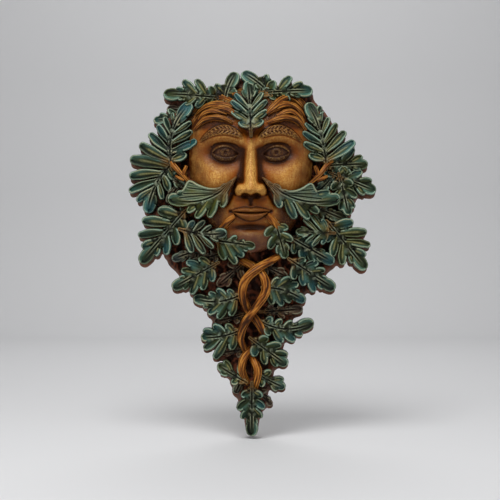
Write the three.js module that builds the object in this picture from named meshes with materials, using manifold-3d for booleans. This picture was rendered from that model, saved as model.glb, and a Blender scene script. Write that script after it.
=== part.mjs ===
// Green man wall plaque: one resin casting of a leafy head, with a flat wall face and a keyhole in it.
// Millimetres. X runs to the viewer's right, Z runs up, the wall face lies on y = 0 and the relief stands
// out towards -Y. The origin is on the wall face, straight below the keyhole.
import * as THREE from "three";
import { mergeVertices } from "three/addons/utils/BufferGeometryUtils.js";
import Module from "manifold-3d";

// Overall sizes.
const PLAQUE_HEIGHT = 330;
const PLAQUE_WIDTH = 225;
const PLAQUE_DEPTH = 58;

// Casting and leaves.
const EDGE_THICKNESS = 8;
const MOUND_RISE = 15;
const MOUND_AT_ENDS = 0.35;
const LAYER_STEP = 4.5;
const LAYER_AT_TIP = 0.6;
const LEAF_ARCH = 2.5;
const LOBE_DROOP = 3;
const MIDRIB_SINK = 1;
const STALK_WIDTH = 3.2;
const SINUS_REACH = 3;
const SINUS_WIDTH = 0.7;
const LOBE_WIDTH = 11;
const CASTING_DRAFT = 2.4;
const LEAF_OVERHANG = 1.2;

// Where lobes leave the midrib, in shares of a leaf's length, how far they lean from it, in degrees, and
// how much straighter than the midrib they head. A lobe is widest from its shoulder to its bend, in shares
// of its reach, and its end lies this share of its half width back towards the stalk.
const LOBES_FROM = 0.06;
const LOBES_TO = 0.76;
const LOBE_SETBACK = 0.3;
const BASE_LOBE_ANGLE = 76;
const LAST_LOBE_ANGLE = 36;
const STRAIGHTENING = 0.6;
const SHOULDER = 0.72;
const BEND = 0.82;
const LOBE_END_BACK = 0.5;
const MIDRIB_SHARES = [0, 0.25, 0.5, 0.75, 1];

// How far sinuses are filled, as shares of the lobes beside them: at the wall face, and in a smooth
// wing. Then the widest lobe a small leaf or a short lobe can carry, as shares of their own lengths.
const WALL_FILL = 0.75;
const WING_FILL = 0.9;
const LOBE_IN_LEAF = 0.26;
const LOBE_IN_REACH = 0.9;

// Stems and twigs.
const VINE_DIAMETER = 9;
const TENDRIL_DIAMETER = 5.5;
const TWIG_DIAMETER = 4.5;
const MOUTH_STEM_DIAMETER = 6;

// Keyhole in the wall face.
const KEYHOLE_ENTRY = 13;
const KEYHOLE_SLOT = 6;
const KEYHOLE_RISE = 12;
const KEYHOLE_DEPTH = 9;
const KEYHOLE_LIP = 3;
const KEYHOLE_ABOVE_ORIGIN = 24;

// The head: hairline to chin is three equal thirds, and the width is five eye widths.
const HEAD_LENGTH = 145;
const HEAD_WIDTH = 112;
const CHIN_HEIGHT = 4;
const HEAD_SIDE = -1;
const FACE_EDGE_HEIGHT = 15;
const FACE_DOME = 22;
const NOSE_TIP_RISE = 17;
const NOSE_BRIDGE_RISE = 6;
const NOSE_TIP_HALF = 9;
const NOSE_BRIDGE_HALF = 6;

// How fast the face's dome falls towards its sides and its ends, and where along the head it is fullest.
const FACE_SIDE_FALL = 0.9;
const FACE_END_FALL = 1.12;
const FACE_FULLEST = 0.55;

// The head is widest at this share of its length, and these shares reach from there to chin and crown.
const HEAD_WIDEST = 0.58;
const JAW_REACH = 0.66;
const CROWN_REACH = 0.62;

// Places on the face, in mm above the chin, and its soft forms: how far to the side of the nose line and
// how high each lies, its half width, its half height, and how far it stands out or, below zero, sinks in.
const EYE_WIDTH = HEAD_WIDTH / 5;
const BROW_UP = (HEAD_LENGTH * 2) / 3;
const NOSE_UP = HEAD_LENGTH / 3;
const MOUTH_UP = (NOSE_UP * 2) / 3;
const EYE_UP = BROW_UP - EYE_WIDTH / 2;
const FACE_FORMS = {
  brow: [EYE_WIDTH * 0.95, BROW_UP + 1, EYE_WIDTH * 0.9, 7, 5],
  eye_socket: [EYE_WIDTH, EYE_UP, EYE_WIDTH * 0.62, 9, -8],
  eyeball: [EYE_WIDTH, EYE_UP, EYE_WIDTH * 0.36, 5, 5],
  cheek: [EYE_WIDTH * 1.25, NOSE_UP + 14, 14, 12, 7],
  nostril: [EYE_WIDTH * 0.4, NOSE_UP + 4, 4.5, 5, 6],
  muzzle: [0, MOUTH_UP, EYE_WIDTH, 11, 7],
  upper_lip: [0, MOUTH_UP + 3.5, EYE_WIDTH * 0.62, 3, 3],
  lower_lip: [0, MOUTH_UP - 5, EYE_WIDTH * 0.5, 3.5, 3],
  lip_line: [0, MOUTH_UP, EYE_WIDTH * 0.8, 1.8, -3],
  chin: [0, 9, 17, 10, 6],
};

// How round things are cut into flats. The face's grid runs a little past the chin and the hairline, is
// denser towards the nose line and never narrower than this half width.
const VINE_SIDES = 6;
const TWIG_SIDES = 5;
const STEM_STEP = 10;
const FACE_COLUMNS = 14;
const FACE_ROWS = 18;
const FACE_FROM = -0.02;
const FACE_TO = 1.04;
const FACE_CROWDING = 1.25;
const FACE_LEAST_HALF = 8;
const KEYHOLE_SIDES = 20;

// Leaves rest on the face inside this share of the head's half width.
const FACE_CARRIES = 0.96;

// The drawing sheet that the leaf schedule is laid out on, measured from its centre.
const SHEET_HALF_HEIGHT = 165;
const ORIGIN_ON_SHEET = 78;
// The backing's half width at heights on the sheet, from the crown down to the foot.
const BACKING_HALF_WIDTHS = [
  [144, 54],
  [125, 70],
  [100, 82],
  [40, 86],
  [-10, 76],
  [-40, 46],
  [-62, 35],
  [-104, 21],
  [-135, 11],
  [-155, 4],
];

// Leaf schedule: base x and z, tip x and z, sideways bend as a share of the length, layer, then the
// reach of each lobe from base to tip, first on the left of the growing direction, then on the right.
// A last 1 or -1 names the side, left or right, whose lobes run together into one smooth wing.
const LEAVES = {
  forehead: [-1, 109, -3, 156, 0, 4.2, [11, 17, 20, 18, 11], [12, 17, 19, 17, 10]],
  crown_left: [-30, 141, -80, 146, 0, 2.6, [8, 12, 12, 8], [10, 17, 18, 11]],
  crown_inner_left: [-22, 141, -15, 165, 0.1, 2.2, [14, 10], [9, 7]],
  crown_inner_right: [18, 144, -12, 163, 0.05, 2.6, [7, 7], [14, 12]],
  crown_right: [12, 145, 55, 149, 0, 2.6, [11, 17, 13], [8, 11, 9]],
  behind_left_temple: [-58, 122, -89, 122, 0, 1, [8, 8, 6], [9, 12, 10]],
  left_temple: [-72, 81, -55, 137, 0.13, 3.2, [17, 28, 18, 14, 10], [15, 25, 21, 19, 13]],
  left_outer: [-70, 80, -102, 43, 0, 2.2, [11, 17, 19, 11], [31, 28, 25, 16]],
  moustache_left: [-13, 66, -75, 50, 0.17, 4.2, [10, 15, 19, 18, 12], [6, 11, 15, 10], -1],
  moustache_right: [10, 66, 79, 50, -0.15, 4.2, [6, 11, 15, 11], [10, 15, 20, 18, 12], 1],
  right_temple: [66, 82, 50, 137, -0.05, 3.2, [15, 19, 19, 16, 11], [19, 26, 18, 14, 11]],
  behind_right_temple: [56, 118, 62, 135, 0, 1, [7, 5], [9, 7]],
  right_upper: [70, 80, 103, 82, 0, 2.4, [14, 17, 10], [9, 12, 9]],
  right_outer: [74, 72, 112, 57, 0, 2, [11, 13, 10], [10, 14, 11]],
  right_hanging: [79, 68, 87, 36, 0, 2.8, [11, 13, 9], [11, 13, 9]],
  right_jaw_outer: [70, 26, 103, -14, 0, 2.4, [19, 25, 23, 14], [13, 19, 19, 11]],
  right_jaw_inner: [69, 19, 39, 20, 0, 3.2, [11, 14, 12, 8], [13, 20, 16, 9]],
  right_jaw_under: [36, 14, 74, -8, 0, 1.7, [9, 10, 9], [12, 14, 13, 9]],
  chin_right: [25, 26, 33, -3, 0, 2.6, [10, 13, 9], [10, 12, 8]],
  left_jaw_outer: [-62, 36, -101, -8, 0, 2.4, [13, 17, 18, 12], [20, 27, 24, 15]],
  behind_left_jaw: [-58, 36, -83, 41, 0, 1.2, [8, 7], [8, 7]],
  left_jaw_inner: [-60, 21, -22, 19, -0.06, 3.2, [11, 14, 11, 7], [19, 20, 16, 10]],
  left_jaw_under: [-43, 6, -72, -5, 0, 1, [10, 11, 8], [8, 9, 7]],
  beard_left_upper: [-34, -10, -72, -31, 0, 2.4, [13, 17, 18, 11], [13, 17, 14, 9]],
  chin_left: [-30, 12, 3, 7, 0, 2.5, [7, 8, 6], [17, 21, 15, 9]],
  behind_beard_left: [-6, -12, -22, -33, 0, 1, [9, 8], [9, 8]],
  behind_beard_right: [6, -12, 25, -27, 0, 1, [8, 8], [8, 8]],
  beard_left_middle: [-13, -38, -53, -40, 0.1, 2.4, [16, 18, 15, 9], [9, 13, 12, 8]],
  beard_left_lower: [-14, -70, -46, -76, 0.05, 2.3, [15, 24, 17], [10, 14, 14]],
  beard_left_low: [-9, -113, -31, -101, 0, 2.2, [8, 9], [14, 12]],
  beard_left_foot: [-8, -110, -15, -127, 0, 1.3, [6], [7]],
  beard_right_upper: [37, -7, 75, -32, 0, 2.2, [9, 14, 13, 8], [14, 15, 17, 11]],
  beard_right_inner: [14, -30, 48, -43, 0.08, 2.8, [11, 15, 14, 8], [15, 16, 12, 8]],
  beard_right_middle: [9, -61, 56, -62, -0.13, 2.3, [8, 9, 10, 8], [10, 15, 15, 11]],
  beard_right_lower: [2, -78, 32, -101, 0, 2.4, [11, 15, 14], [12, 14, 12]],
  beard_right_low: [7, -109, 30, -122, 0, 2.2, [9, 11], [9, 10]],
  behind_foot: [5, -124, 18, -138, 0, 1, [7, 6], [7, 6]],
  foot: [0, -120, 0, -165, 0, 2.4, [10, 13, 12, 8], [10, 15, 13, 8]],
};

// Stems: points as x, height above the wall and z, chosen by hand, then the diameter.
const STEMS = {
  vine_right: [
    [[24, 22, -2], [5, 31, -13], [-6, 33, -24], [-8, 31, -37], [-3, 25, -51], [5, 25, -61], [12, 22, -71]],
    VINE_DIAMETER,
  ],
  vine_left: [
    [[-12, 20, -5], [1, 24, -11], [11, 29, -22], [12, 31, -34], [4, 33, -47], [-6, 31, -61], [-10, 27, -75],
      [-5, 20, -89]],
    VINE_DIAMETER,
  ],
  vine_low_left: [[[1, 18, -84], [-7, 26, -93], [-9, 25, -105], [-3, 18, -117]], VINE_DIAMETER - 1],
  vine_low_right: [[[-1, 20, -92], [5, 25, -103], [4, 24, -115], [0, 17, -127]], VINE_DIAMETER - 1],
  mouth_stem_left: [[[-15, 40, 34], [-20, 38, 30], [-26, 31, 23], [-31, 24, 18]], MOUTH_STEM_DIAMETER],
  mouth_stem_right: [[[13, 40, 34], [18, 38, 30], [24, 31, 23], [30, 24, 18]], MOUTH_STEM_DIAMETER],
  twig_left: [[[-76, 18, 86], [-70, 24, 80], [-65, 27, 73], [-60, 27, 65]], TWIG_DIAMETER],
  twig_right: [[[74, 18, 86], [67, 24, 80], [61, 27, 72], [56, 27, 63]], TWIG_DIAMETER],
  tendril_left_outer: [[[-16, 26, 144], [-34, 31, 146], [-50, 30, 138], [-57, 25, 126]], TENDRIL_DIAMETER],
  tendril_left_inner: [[[-12, 30, 136], [-26, 35, 134], [-42, 34, 132], [-52, 28, 119]], TENDRIL_DIAMETER],
  tendril_right_outer: [[[12, 26, 143], [30, 31, 145], [44, 30, 137], [52, 25, 124]], TENDRIL_DIAMETER],
  tendril_right_inner: [[[14, 30, 128], [24, 35, 138], [38, 34, 134], [46, 29, 119]], TENDRIL_DIAMETER],
};

const mix = (a, b, t) => a + (b - a) * t;
const smoothstep = THREE.MathUtils.smoothstep;

// A soft round bump: 1 at the middle, falling to nothing over the given half sizes.
const bump = (x, z, halfX, halfZ) => Math.exp(-((x / halfX) ** 2) - (z / halfZ) ** 2);

// Height of the backing's crowned front over the wall, at a point of the sheet.
function backingHeight(x, z) {
  let halfWidth = (z > 0 ? BACKING_HALF_WIDTHS[0] : BACKING_HALF_WIDTHS.at(-1))[1];
  for (let i = 1; i < BACKING_HALF_WIDTHS.length; i++) {
    const [upperZ, upperHalf] = BACKING_HALF_WIDTHS[i - 1];
    const [lowerZ, lowerHalf] = BACKING_HALF_WIDTHS[i];
    if (z <= upperZ && z >= lowerZ) halfWidth = mix(lowerHalf, upperHalf, (z - lowerZ) / (upperZ - lowerZ));
  }
  const across = Math.max(0, 1 - (x / (halfWidth * LEAF_OVERHANG)) ** 2);
  const along = smoothstep(SHEET_HALF_HEIGHT - Math.abs(z), 0, SHEET_HALF_HEIGHT / 3);
  return EDGE_THICKNESS + MOUND_RISE * across * mix(MOUND_AT_ENDS, 1, along);
}

// Half the head's width at a height measured in head lengths up from the chin.
function headHalfWidth(up) {
  const reach = up < HEAD_WIDEST ? JAW_REACH : CROWN_REACH;
  return (HEAD_WIDTH / 2) * Math.sqrt(Math.max(0, 1 - ((up - HEAD_WIDEST) / reach) ** 2));
}

// The face's relief before it is scaled to the plaque's depth. x is measured from the nose line, and up
// from the chin in head lengths.
function faceRelief(x, up) {
  const z = up * HEAD_LENGTH;
  const across = x / (HEAD_WIDTH / 2);
  const bridge = smoothstep(z, NOSE_UP - 2, NOSE_UP + 4) * (1 - smoothstep(z, BROW_UP - 4, BROW_UP + 12));
  const upNose = THREE.MathUtils.clamp((z - NOSE_UP) / (BROW_UP - NOSE_UP), 0, 1);
  const ridge = mix(NOSE_TIP_RISE, NOSE_BRIDGE_RISE, upNose);
  const fall = FACE_SIDE_FALL * across ** 2 + FACE_END_FALL * (up - FACE_FULLEST) ** 2;
  let height = FACE_DOME * Math.sqrt(Math.max(0, 1 - fall));
  height += bridge * ridge * bump(x, 0, mix(NOSE_TIP_HALF, NOSE_BRIDGE_HALF, up), 1);
  for (const [side, formUp, halfX, halfZ, rises] of Object.values(FACE_FORMS)) {
    height += rises * bump(Math.abs(x) - side, z - formUp, halfX, halfZ);
  }
  return height;
}

// Height of the face over the wall: the nose tip stands at the plaque's full depth.
const faceRowUp = (row) => mix(FACE_FROM, FACE_TO, row / FACE_ROWS);
const noseRelief = Math.max(...Array.from({ length: FACE_ROWS }, (_, row) => faceRelief(0, faceRowUp(row))));
const faceHeight = (x, up) =>
  FACE_EDGE_HEIGHT + (PLAQUE_DEPTH - FACE_EDGE_HEIGHT) * (faceRelief(x, up) / noseRelief);

const wasm = await Module();
wasm.setup();

function toSolid(geometry) {
  geometry.deleteAttribute("normal");
  geometry.deleteAttribute("uv");
  const merged = mergeVertices(geometry, 1e-3);
  const mesh = new wasm.Mesh({
    numProp: 3,
    vertProperties: merged.attributes.position.array,
    triVerts: new Uint32Array(merged.index.array),
  });
  return new wasm.Manifold(mesh);
}

// Where the midrib runs at a share s of its length, and which way it grows there.
function midribAt(leaf, s) {
  const [baseX, baseZ, tipX, tipZ, bend] = leaf;
  const middleX = (baseX + tipX) / 2 - bend * (tipZ - baseZ) * 2;
  const middleZ = (baseZ + tipZ) / 2 + bend * (tipX - baseX) * 2;
  const along = (a, b, c) => (1 - s) ** 2 * a + 2 * s * (1 - s) * b + s ** 2 * c;
  const slope = (a, b, c) => 2 * (1 - s) * (b - a) + 2 * s * (c - b);
  return {
    at: new THREE.Vector2(along(baseX, middleX, tipX), along(baseZ, middleZ, tipZ)),
    grows: new THREE.Vector2(slope(baseX, middleX, tipX), slope(baseZ, middleZ, tipZ)).normalize(),
  };
}

// The lobes on one side of a leaf, from base to tip, ending with the blunt lobe that carries the tip.
function leafLobes(leaf, side) {
  const chord = new THREE.Vector2(leaf[2] - leaf[0], leaf[3] - leaf[1]);
  const length = chord.length();
  const reaches = side > 0 ? leaf[6] : leaf[7];
  const origin = new THREE.Vector2(0, 0);
  const lobes = reaches.map((reach, i) => {
    const { at, grows } = midribAt(leaf, mix(LOBES_FROM, LOBES_TO, (i + LOBE_SETBACK) / reaches.length));
    const angle = mix(BASE_LOBE_ANGLE, LAST_LOBE_ANGLE, i / Math.max(1, reaches.length - 1));
    const forwards = grows.lerp(chord.clone().normalize(), STRAIGHTENING).normalize();
    return { at, reach, heads: forwards.rotateAround(origin, side * THREE.MathUtils.degToRad(angle)) };
  });
  const end = midribAt(leaf, LOBES_TO);
  const tip = midribAt(leaf, 1).at;
  lobes.push({ at: end.at, reach: tip.distanceTo(end.at), heads: tip.clone().sub(end.at).normalize() });
  lobes.forEach((lobe, i) => {
    lobe.across = lobe.heads.clone().rotateAround(origin, (side * Math.PI) / 2);
    const middle = lobe.at.clone().addScaledVector(lobe.heads, SHOULDER * lobe.reach);
    const gaps = [lobes[i - 1], lobes[i + 1]].filter(Boolean).map((near) => {
      const away = middle.clone().sub(near.at);
      return Math.abs(away.cross(near.heads)) / 2 - SINUS_WIDTH / 2;
    });
    const widest = Math.min(LOBE_WIDTH, length * LOBE_IN_LEAF, lobe.reach * LOBE_IN_REACH) / 2;
    lobe.half = Math.max(SINUS_WIDTH, Math.min(...gaps, widest));
  });
  return lobes;
}

// One side of a leaf's outline from base to tip: a sinus, then the shoulder and the end of each lobe.
// fill moves the sinuses out towards the lobe ends, which gives the plain pad behind the leaf.
function leafSide(leaf, side, fill) {
  const foot = midribAt(leaf, 0);
  const footSide = new THREE.Vector2(-foot.grows.y, foot.grows.x).multiplyScalar((side * STALK_WIDTH) / 2);
  const points = [foot.at.clone().add(footSide)];
  const lobes = leafLobes(leaf, side);
  const place = (lobe, out, wide) => {
    const centre = lobe.at.clone().addScaledVector(lobe.heads, out * lobe.reach);
    return centre.addScaledVector(lobe.across, wide * lobe.half);
  };
  lobes.forEach((lobe, i) => {
    const before = lobes[i - 1] ?? { at: foot.at, heads: lobe.heads, reach: lobe.reach };
    const shorter = Math.min(lobe.reach, before.reach);
    const filled = leaf[8] === side ? WING_FILL : fill;
    const out = mix(Math.min(SINUS_REACH, shorter / 3), shorter * SHOULDER, filled);
    const heads = before.heads.clone().add(lobe.heads).normalize();
    points.push(before.at.clone().lerp(lobe.at, 0.5).addScaledVector(heads, out));
    if (lobe === lobes.at(-1)) points.push(place(lobe, SHOULDER, 1));
    else points.push(place(lobe, BEND, 1), place(lobe, 1, -LOBE_END_BACK));
  });
  return points;
}

// The whole outline and the midrib points that its two halves share.
function leafOutline(leaf, fill) {
  const midrib = MIDRIB_SHARES.map((s) => midribAt(leaf, s).at);
  return { left: leafSide(leaf, 1, fill), right: leafSide(leaf, -1, fill), midrib };
}

// Share of the leaf's length that lies nearest to a point, and how far the point is from the midrib.
function leafPlace(leaf, point) {
  let share = 0;
  let distance = Infinity;
  for (let s = 0; s <= 1; s += 0.05) {
    const apart = midribAt(leaf, s).at.distanceTo(point);
    if (apart < distance) [share, distance] = [s, apart];
  }
  return { share, distance };
}

// Height of a leaf's front face over the wall.
function leafHeight(leaf, point) {
  const [baseX, baseZ, tipX, tipZ, , layer] = leaf;
  const { share, distance } = leafPlace(leaf, point);
  const reach = Math.hypot(tipX - baseX, tipZ - baseZ) / 2;
  const ground = mix(carrierHeight(baseX, baseZ), carrierHeight(tipX, tipZ), share);
  const arch = LEAF_ARCH * 4 * share * (1 - share);
  const fold = distance < 0.1 ? -MIDRIB_SINK : -LOBE_DROOP * (distance / reach) ** 2;
  return ground + (layer - 1) * LAYER_STEP * mix(1, LAYER_AT_TIP, share) + arch + fold;
}

// What a leaf lies on: the backing, or the face where the face is higher.
function carrierHeight(x, z) {
  const up = (z - CHIN_HEIGHT) / HEAD_LENGTH;
  const half = up > -0.05 && up < 1.1 ? headHalfWidth(up) : 0;
  const onFace = half > 0 && Math.abs(x - HEAD_SIDE) < half * FACE_CARRIES;
  const backing = backingHeight(x, z);
  return onFace ? Math.max(backing, faceHeight(x - HEAD_SIDE, up) - LAYER_STEP) : backing;
}

// A closed solid between a front ring and a back ring of as many points. The front cap is tiled by
// polygons over the ring and its inner points, the back cap by the flat back ring.
function loft(frontRing, frontTiles, backRing, frontAt, backAt) {
  const positions = [];
  const push = (...corners) => corners.forEach((p) => positions.push(p.x, p.y, p.z));
  const cap = (polygon, at, towardsWall) => {
    for (const corners of THREE.ShapeUtils.triangulateShape(polygon, [])) {
      const [a, b, c] = corners.map((i) => polygon[i]);
      const turned = THREE.ShapeUtils.area([a, b, c]) < 0 !== towardsWall;
      push(...(turned ? [a, c, b] : [a, b, c]).map(at));
    }
  };
  frontTiles.forEach((tile) => cap(tile, frontAt, false));
  cap(backRing, backAt, true);
  frontRing.forEach((p, i) => {
    const next = (i + 1) % frontRing.length;
    const [nearStart, nearEnd] = [frontAt(p), frontAt(frontRing[next])];
    const [farStart, farEnd] = [backAt(backRing[i]), backAt(backRing[next])];
    push(farStart, farEnd, nearEnd, farStart, nearEnd, nearStart);
  });
  const geometry = new THREE.BufferGeometry();
  geometry.setAttribute("position", new THREE.Float32BufferAttribute(positions, 3));
  return toSolid(geometry);
}

// Sheet to plaque: the leaf schedule's own extent is stretched to the overall width and height.
function sheetExtent() {
  const box = new THREE.Box2();
  for (const leaf of Object.values(LEAVES)) {
    const { left, right, midrib } = leafOutline(leaf, 0);
    [...left, ...right, ...midrib].forEach((p) => box.expandByPoint(p));
  }
  return box.expandByScalar(CASTING_DRAFT);
}
const extent = sheetExtent();
const spread = PLAQUE_WIDTH / (extent.max.x - extent.min.x);
const rise = PLAQUE_HEIGHT / (extent.max.y - extent.min.y);
const fromWall = (p, height) => new THREE.Vector3(p.x * spread, -height, (p.y - ORIGIN_ON_SHEET) * rise);

// A leaf with the casting behind it: its walls run back to the wall face, where the outline is wider
// by the draft and its sinuses are nearly filled.
function leafSolid(leaf) {
  const ring = ({ left, right, midrib }) => [midrib[0], ...right, midrib.at(-1), ...left.toReversed()];
  const front = leafOutline(leaf, 0);
  const centre = midribAt(leaf, 0.5).at;
  const outwards = (p) => p.clone().sub(centre).setLength(CASTING_DRAFT);
  const drafted = ring(leafOutline(leaf, WALL_FILL)).map((p) => p.add(outwards(p)));
  const [foot, ...inner] = front.midrib.slice(0, -1);
  const tip = front.midrib.at(-1);
  const tiles = [
    [foot, ...front.right, tip, ...inner.toReversed()],
    [foot, ...inner, tip, ...front.left.toReversed()],
  ];
  return loft(ring(front), tiles, drafted, (p) => fromWall(p, leafHeight(leaf, p)), (p) => fromWall(p, 0));
}

// The crowned backing: the beard's taper and the ground behind the wreath, in level slices.
function backingSolid() {
  const right = BACKING_HALF_WIDTHS.map(([z, half]) => new THREE.Vector2(half, z));
  const left = BACKING_HALF_WIDTHS.map(([z, half]) => new THREE.Vector2(-half, z));
  const ridge = BACKING_HALF_WIDTHS.map(([z]) => new THREE.Vector2(0, z));
  const ring = [ridge[0], ...left, ridge.at(-1), ...right.toReversed()];
  const tiles = [];
  for (let i = 1; i < ridge.length; i++) {
    tiles.push([ridge[i - 1], left[i - 1], left[i], ridge[i]]);
    tiles.push([right[i - 1], ridge[i - 1], ridge[i], right[i]]);
  }
  return loft(ring, tiles, ring, (p) => fromWall(p, backingHeight(p.x, p.y)), (p) => fromWall(p, 0));
}

// The face as a grid whose columns follow the head's outline, closed down to the wall face.
function faceSolid() {
  const grid = [];
  for (let row = 0; row <= FACE_ROWS; row++) {
    const up = faceRowUp(row);
    for (let column = 0; column <= FACE_COLUMNS; column++) {
      const across = (2 * column) / FACE_COLUMNS - 1;
      const half = Math.max(FACE_LEAST_HALF, headHalfWidth(up));
      const x = Math.sign(across) * Math.abs(across) ** FACE_CROWDING * half;
      grid.push({ x, up, at: new THREE.Vector2(x + HEAD_SIDE, CHIN_HEIGHT + up * HEAD_LENGTH) });
    }
  }
  const wide = FACE_COLUMNS + 1;
  const front = (g) => fromWall(g.at, faceHeight(g.x, g.up));
  const back = (g) => fromWall(g.at, 0);
  const positions = [];
  const push = (...corners) => corners.forEach((p) => positions.push(p.x, p.y, p.z));
  for (let row = 0; row < FACE_ROWS; row++) {
    for (let column = 0; column < FACE_COLUMNS; column++) {
      const a = grid[row * wide + column];
      const b = grid[row * wide + column + 1];
      const c = grid[(row + 1) * wide + column + 1];
      const d = grid[(row + 1) * wide + column];
      push(front(a), front(b), front(c), front(a), front(c), front(d));
      push(back(a), back(c), back(b), back(a), back(d), back(c));
    }
  }
  const rim = [];
  for (let column = 0; column < FACE_COLUMNS; column++) rim.push(column);
  for (let row = 0; row < FACE_ROWS; row++) rim.push(row * wide + FACE_COLUMNS);
  for (let column = FACE_COLUMNS; column > 0; column--) rim.push(FACE_ROWS * wide + column);
  for (let row = FACE_ROWS; row > 0; row--) rim.push(row * wide);
  rim.forEach((index, i) => {
    const p = grid[index];
    const q = grid[rim[(i + 1) % rim.length]];
    push(back(p), back(q), front(q), back(p), front(q), front(p));
  });
  const geometry = new THREE.BufferGeometry();
  geometry.setAttribute("position", new THREE.Float32BufferAttribute(positions, 3));
  return toSolid(geometry);
}

// A round stem through its points.
function stemSolid([points, diameter]) {
  const route = points.map(([x, height, z]) => fromWall(new THREE.Vector2(x, z), height));
  const ring = new THREE.Shape();
  const sides = diameter > MOUTH_STEM_DIAMETER ? VINE_SIDES : TWIG_SIDES;
  for (let i = 0; i < sides; i++) {
    const angle = (2 * Math.PI * i) / sides;
    const corner = [(diameter / 2) * Math.cos(angle), (diameter / 2) * Math.sin(angle)];
    if (i === 0) ring.moveTo(...corner);
    else ring.lineTo(...corner);
  }
  const path = new THREE.CatmullRomCurve3(route);
  const steps = Math.ceil(path.getLength() / STEM_STEP);
  return toSolid(new THREE.ExtrudeGeometry(ring, { extrudePath: path, steps, bevelEnabled: false }));
}

// The keyhole: a screw head goes in at the round entry and rises behind the lip on each side of the slot.
function keyholeSolid() {
  const round = (diameter, from, to, z) => {
    const plug = new THREE.CylinderGeometry(diameter / 2, diameter / 2, to - from, KEYHOLE_SIDES);
    return toSolid(plug.translate(0, -(from + to) / 2, z));
  };
  const slot = (width, from, to) => {
    const box = new THREE.BoxGeometry(width, to - from, KEYHOLE_RISE);
    return toSolid(box.translate(0, -(from + to) / 2, KEYHOLE_ABOVE_ORIGIN + KEYHOLE_RISE / 2));
  };
  const top = KEYHOLE_ABOVE_ORIGIN + KEYHOLE_RISE;
  return wasm.Manifold.union([
    round(KEYHOLE_ENTRY, -1, KEYHOLE_DEPTH, KEYHOLE_ABOVE_ORIGIN),
    round(KEYHOLE_ENTRY, KEYHOLE_LIP, KEYHOLE_DEPTH, top),
    slot(KEYHOLE_ENTRY, KEYHOLE_LIP, KEYHOLE_DEPTH),
    round(KEYHOLE_SLOT, -1, KEYHOLE_LIP + 1, top),
    slot(KEYHOLE_SLOT, -1, KEYHOLE_LIP + 1),
  ]);
}

// The casting is solid right through, so a pocket that leaves close off all round is filled with resin.
const relief = wasm.Manifold.union([
  backingSolid(),
  faceSolid(),
  ...Object.values(LEAVES).map(leafSolid),
  ...Object.values(STEMS).map(stemSolid),
]);
const filled = wasm.Manifold.union(relief.decompose().filter((shell) => shell.volume() > 0));
const casting = filled.subtract(keyholeSolid());

const cast = casting.getMesh();
const surface = new THREE.BufferGeometry();
surface.setAttribute("position", new THREE.BufferAttribute(cast.vertProperties, 3));
surface.setIndex(new THREE.BufferAttribute(cast.triVerts, 1));
surface.computeVertexNormals();

const resin = new THREE.MeshStandardMaterial({ color: 0x2f5a44, roughness: 0.45, metalness: 0 });
const mask = new THREE.Mesh(surface, resin);
mask.name = "green_man_mask";

const plaque = new THREE.Group();
plaque.add(mask);

export default plaque;
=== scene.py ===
"""Green man wall plaque: the painted resin casting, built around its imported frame.

Lengths are in millimetres on a drawing sheet that faces the viewer, and turn to metres when a mesh is made.
"""

import math

import bpy
import numpy as np
from bpy.props import FloatProperty, FloatVectorProperty, IntProperty
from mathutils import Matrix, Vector, noise
from mathutils.geometry import delaunay_2d_cdt


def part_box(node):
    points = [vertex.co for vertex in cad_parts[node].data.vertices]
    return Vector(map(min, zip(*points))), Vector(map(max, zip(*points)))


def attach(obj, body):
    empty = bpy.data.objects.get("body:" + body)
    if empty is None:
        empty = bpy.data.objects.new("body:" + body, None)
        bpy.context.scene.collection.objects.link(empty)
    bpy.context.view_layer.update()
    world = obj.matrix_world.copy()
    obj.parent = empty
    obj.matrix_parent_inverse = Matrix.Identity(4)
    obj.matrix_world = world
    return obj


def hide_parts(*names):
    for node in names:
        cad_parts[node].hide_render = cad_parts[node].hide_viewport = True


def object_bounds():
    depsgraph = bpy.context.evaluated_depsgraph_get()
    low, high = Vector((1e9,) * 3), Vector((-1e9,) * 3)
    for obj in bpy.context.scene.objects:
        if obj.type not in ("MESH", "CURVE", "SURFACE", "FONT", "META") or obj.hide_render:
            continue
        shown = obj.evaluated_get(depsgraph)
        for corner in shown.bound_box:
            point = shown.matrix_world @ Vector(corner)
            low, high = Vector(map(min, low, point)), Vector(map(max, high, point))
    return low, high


bl_info = {
    "name": "Green Man Wall Plaque",
    "version": (1, 0, 0),
    "blender": (4, 5, 0),
    "location": "View3D > Sidebar > Plaque",
    "description": "Builds a hand-painted resin green man plaque around its packed frame",
    "category": "Add Mesh",
}

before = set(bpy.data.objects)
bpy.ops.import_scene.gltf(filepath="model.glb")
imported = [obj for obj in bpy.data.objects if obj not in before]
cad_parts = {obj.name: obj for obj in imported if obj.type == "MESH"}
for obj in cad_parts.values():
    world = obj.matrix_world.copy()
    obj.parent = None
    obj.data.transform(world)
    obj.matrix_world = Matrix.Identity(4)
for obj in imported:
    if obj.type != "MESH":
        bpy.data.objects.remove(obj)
CAD_LOW, CAD_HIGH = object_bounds()
MM = 0.001
NODE = "green_man_mask"

# The drawing sheet: the extent of the leaf schedule, and the height on it of the plaque's origin.
SHEET_WIDTH = 226.61
SHEET_HEIGHT = 334.87
ORIGIN_ON_SHEET = 78
PLAQUE_DEPTH = 58
NODE_LOW, NODE_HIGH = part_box(NODE)
SPREAD = (NODE_HIGH.x - NODE_LOW.x) / MM / SHEET_WIDTH
RISE = (NODE_HIGH.z - NODE_LOW.z) / MM / SHEET_HEIGHT
DEPTH = (NODE_HIGH.y - NODE_LOW.y) / MM / PLAQUE_DEPTH

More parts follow.
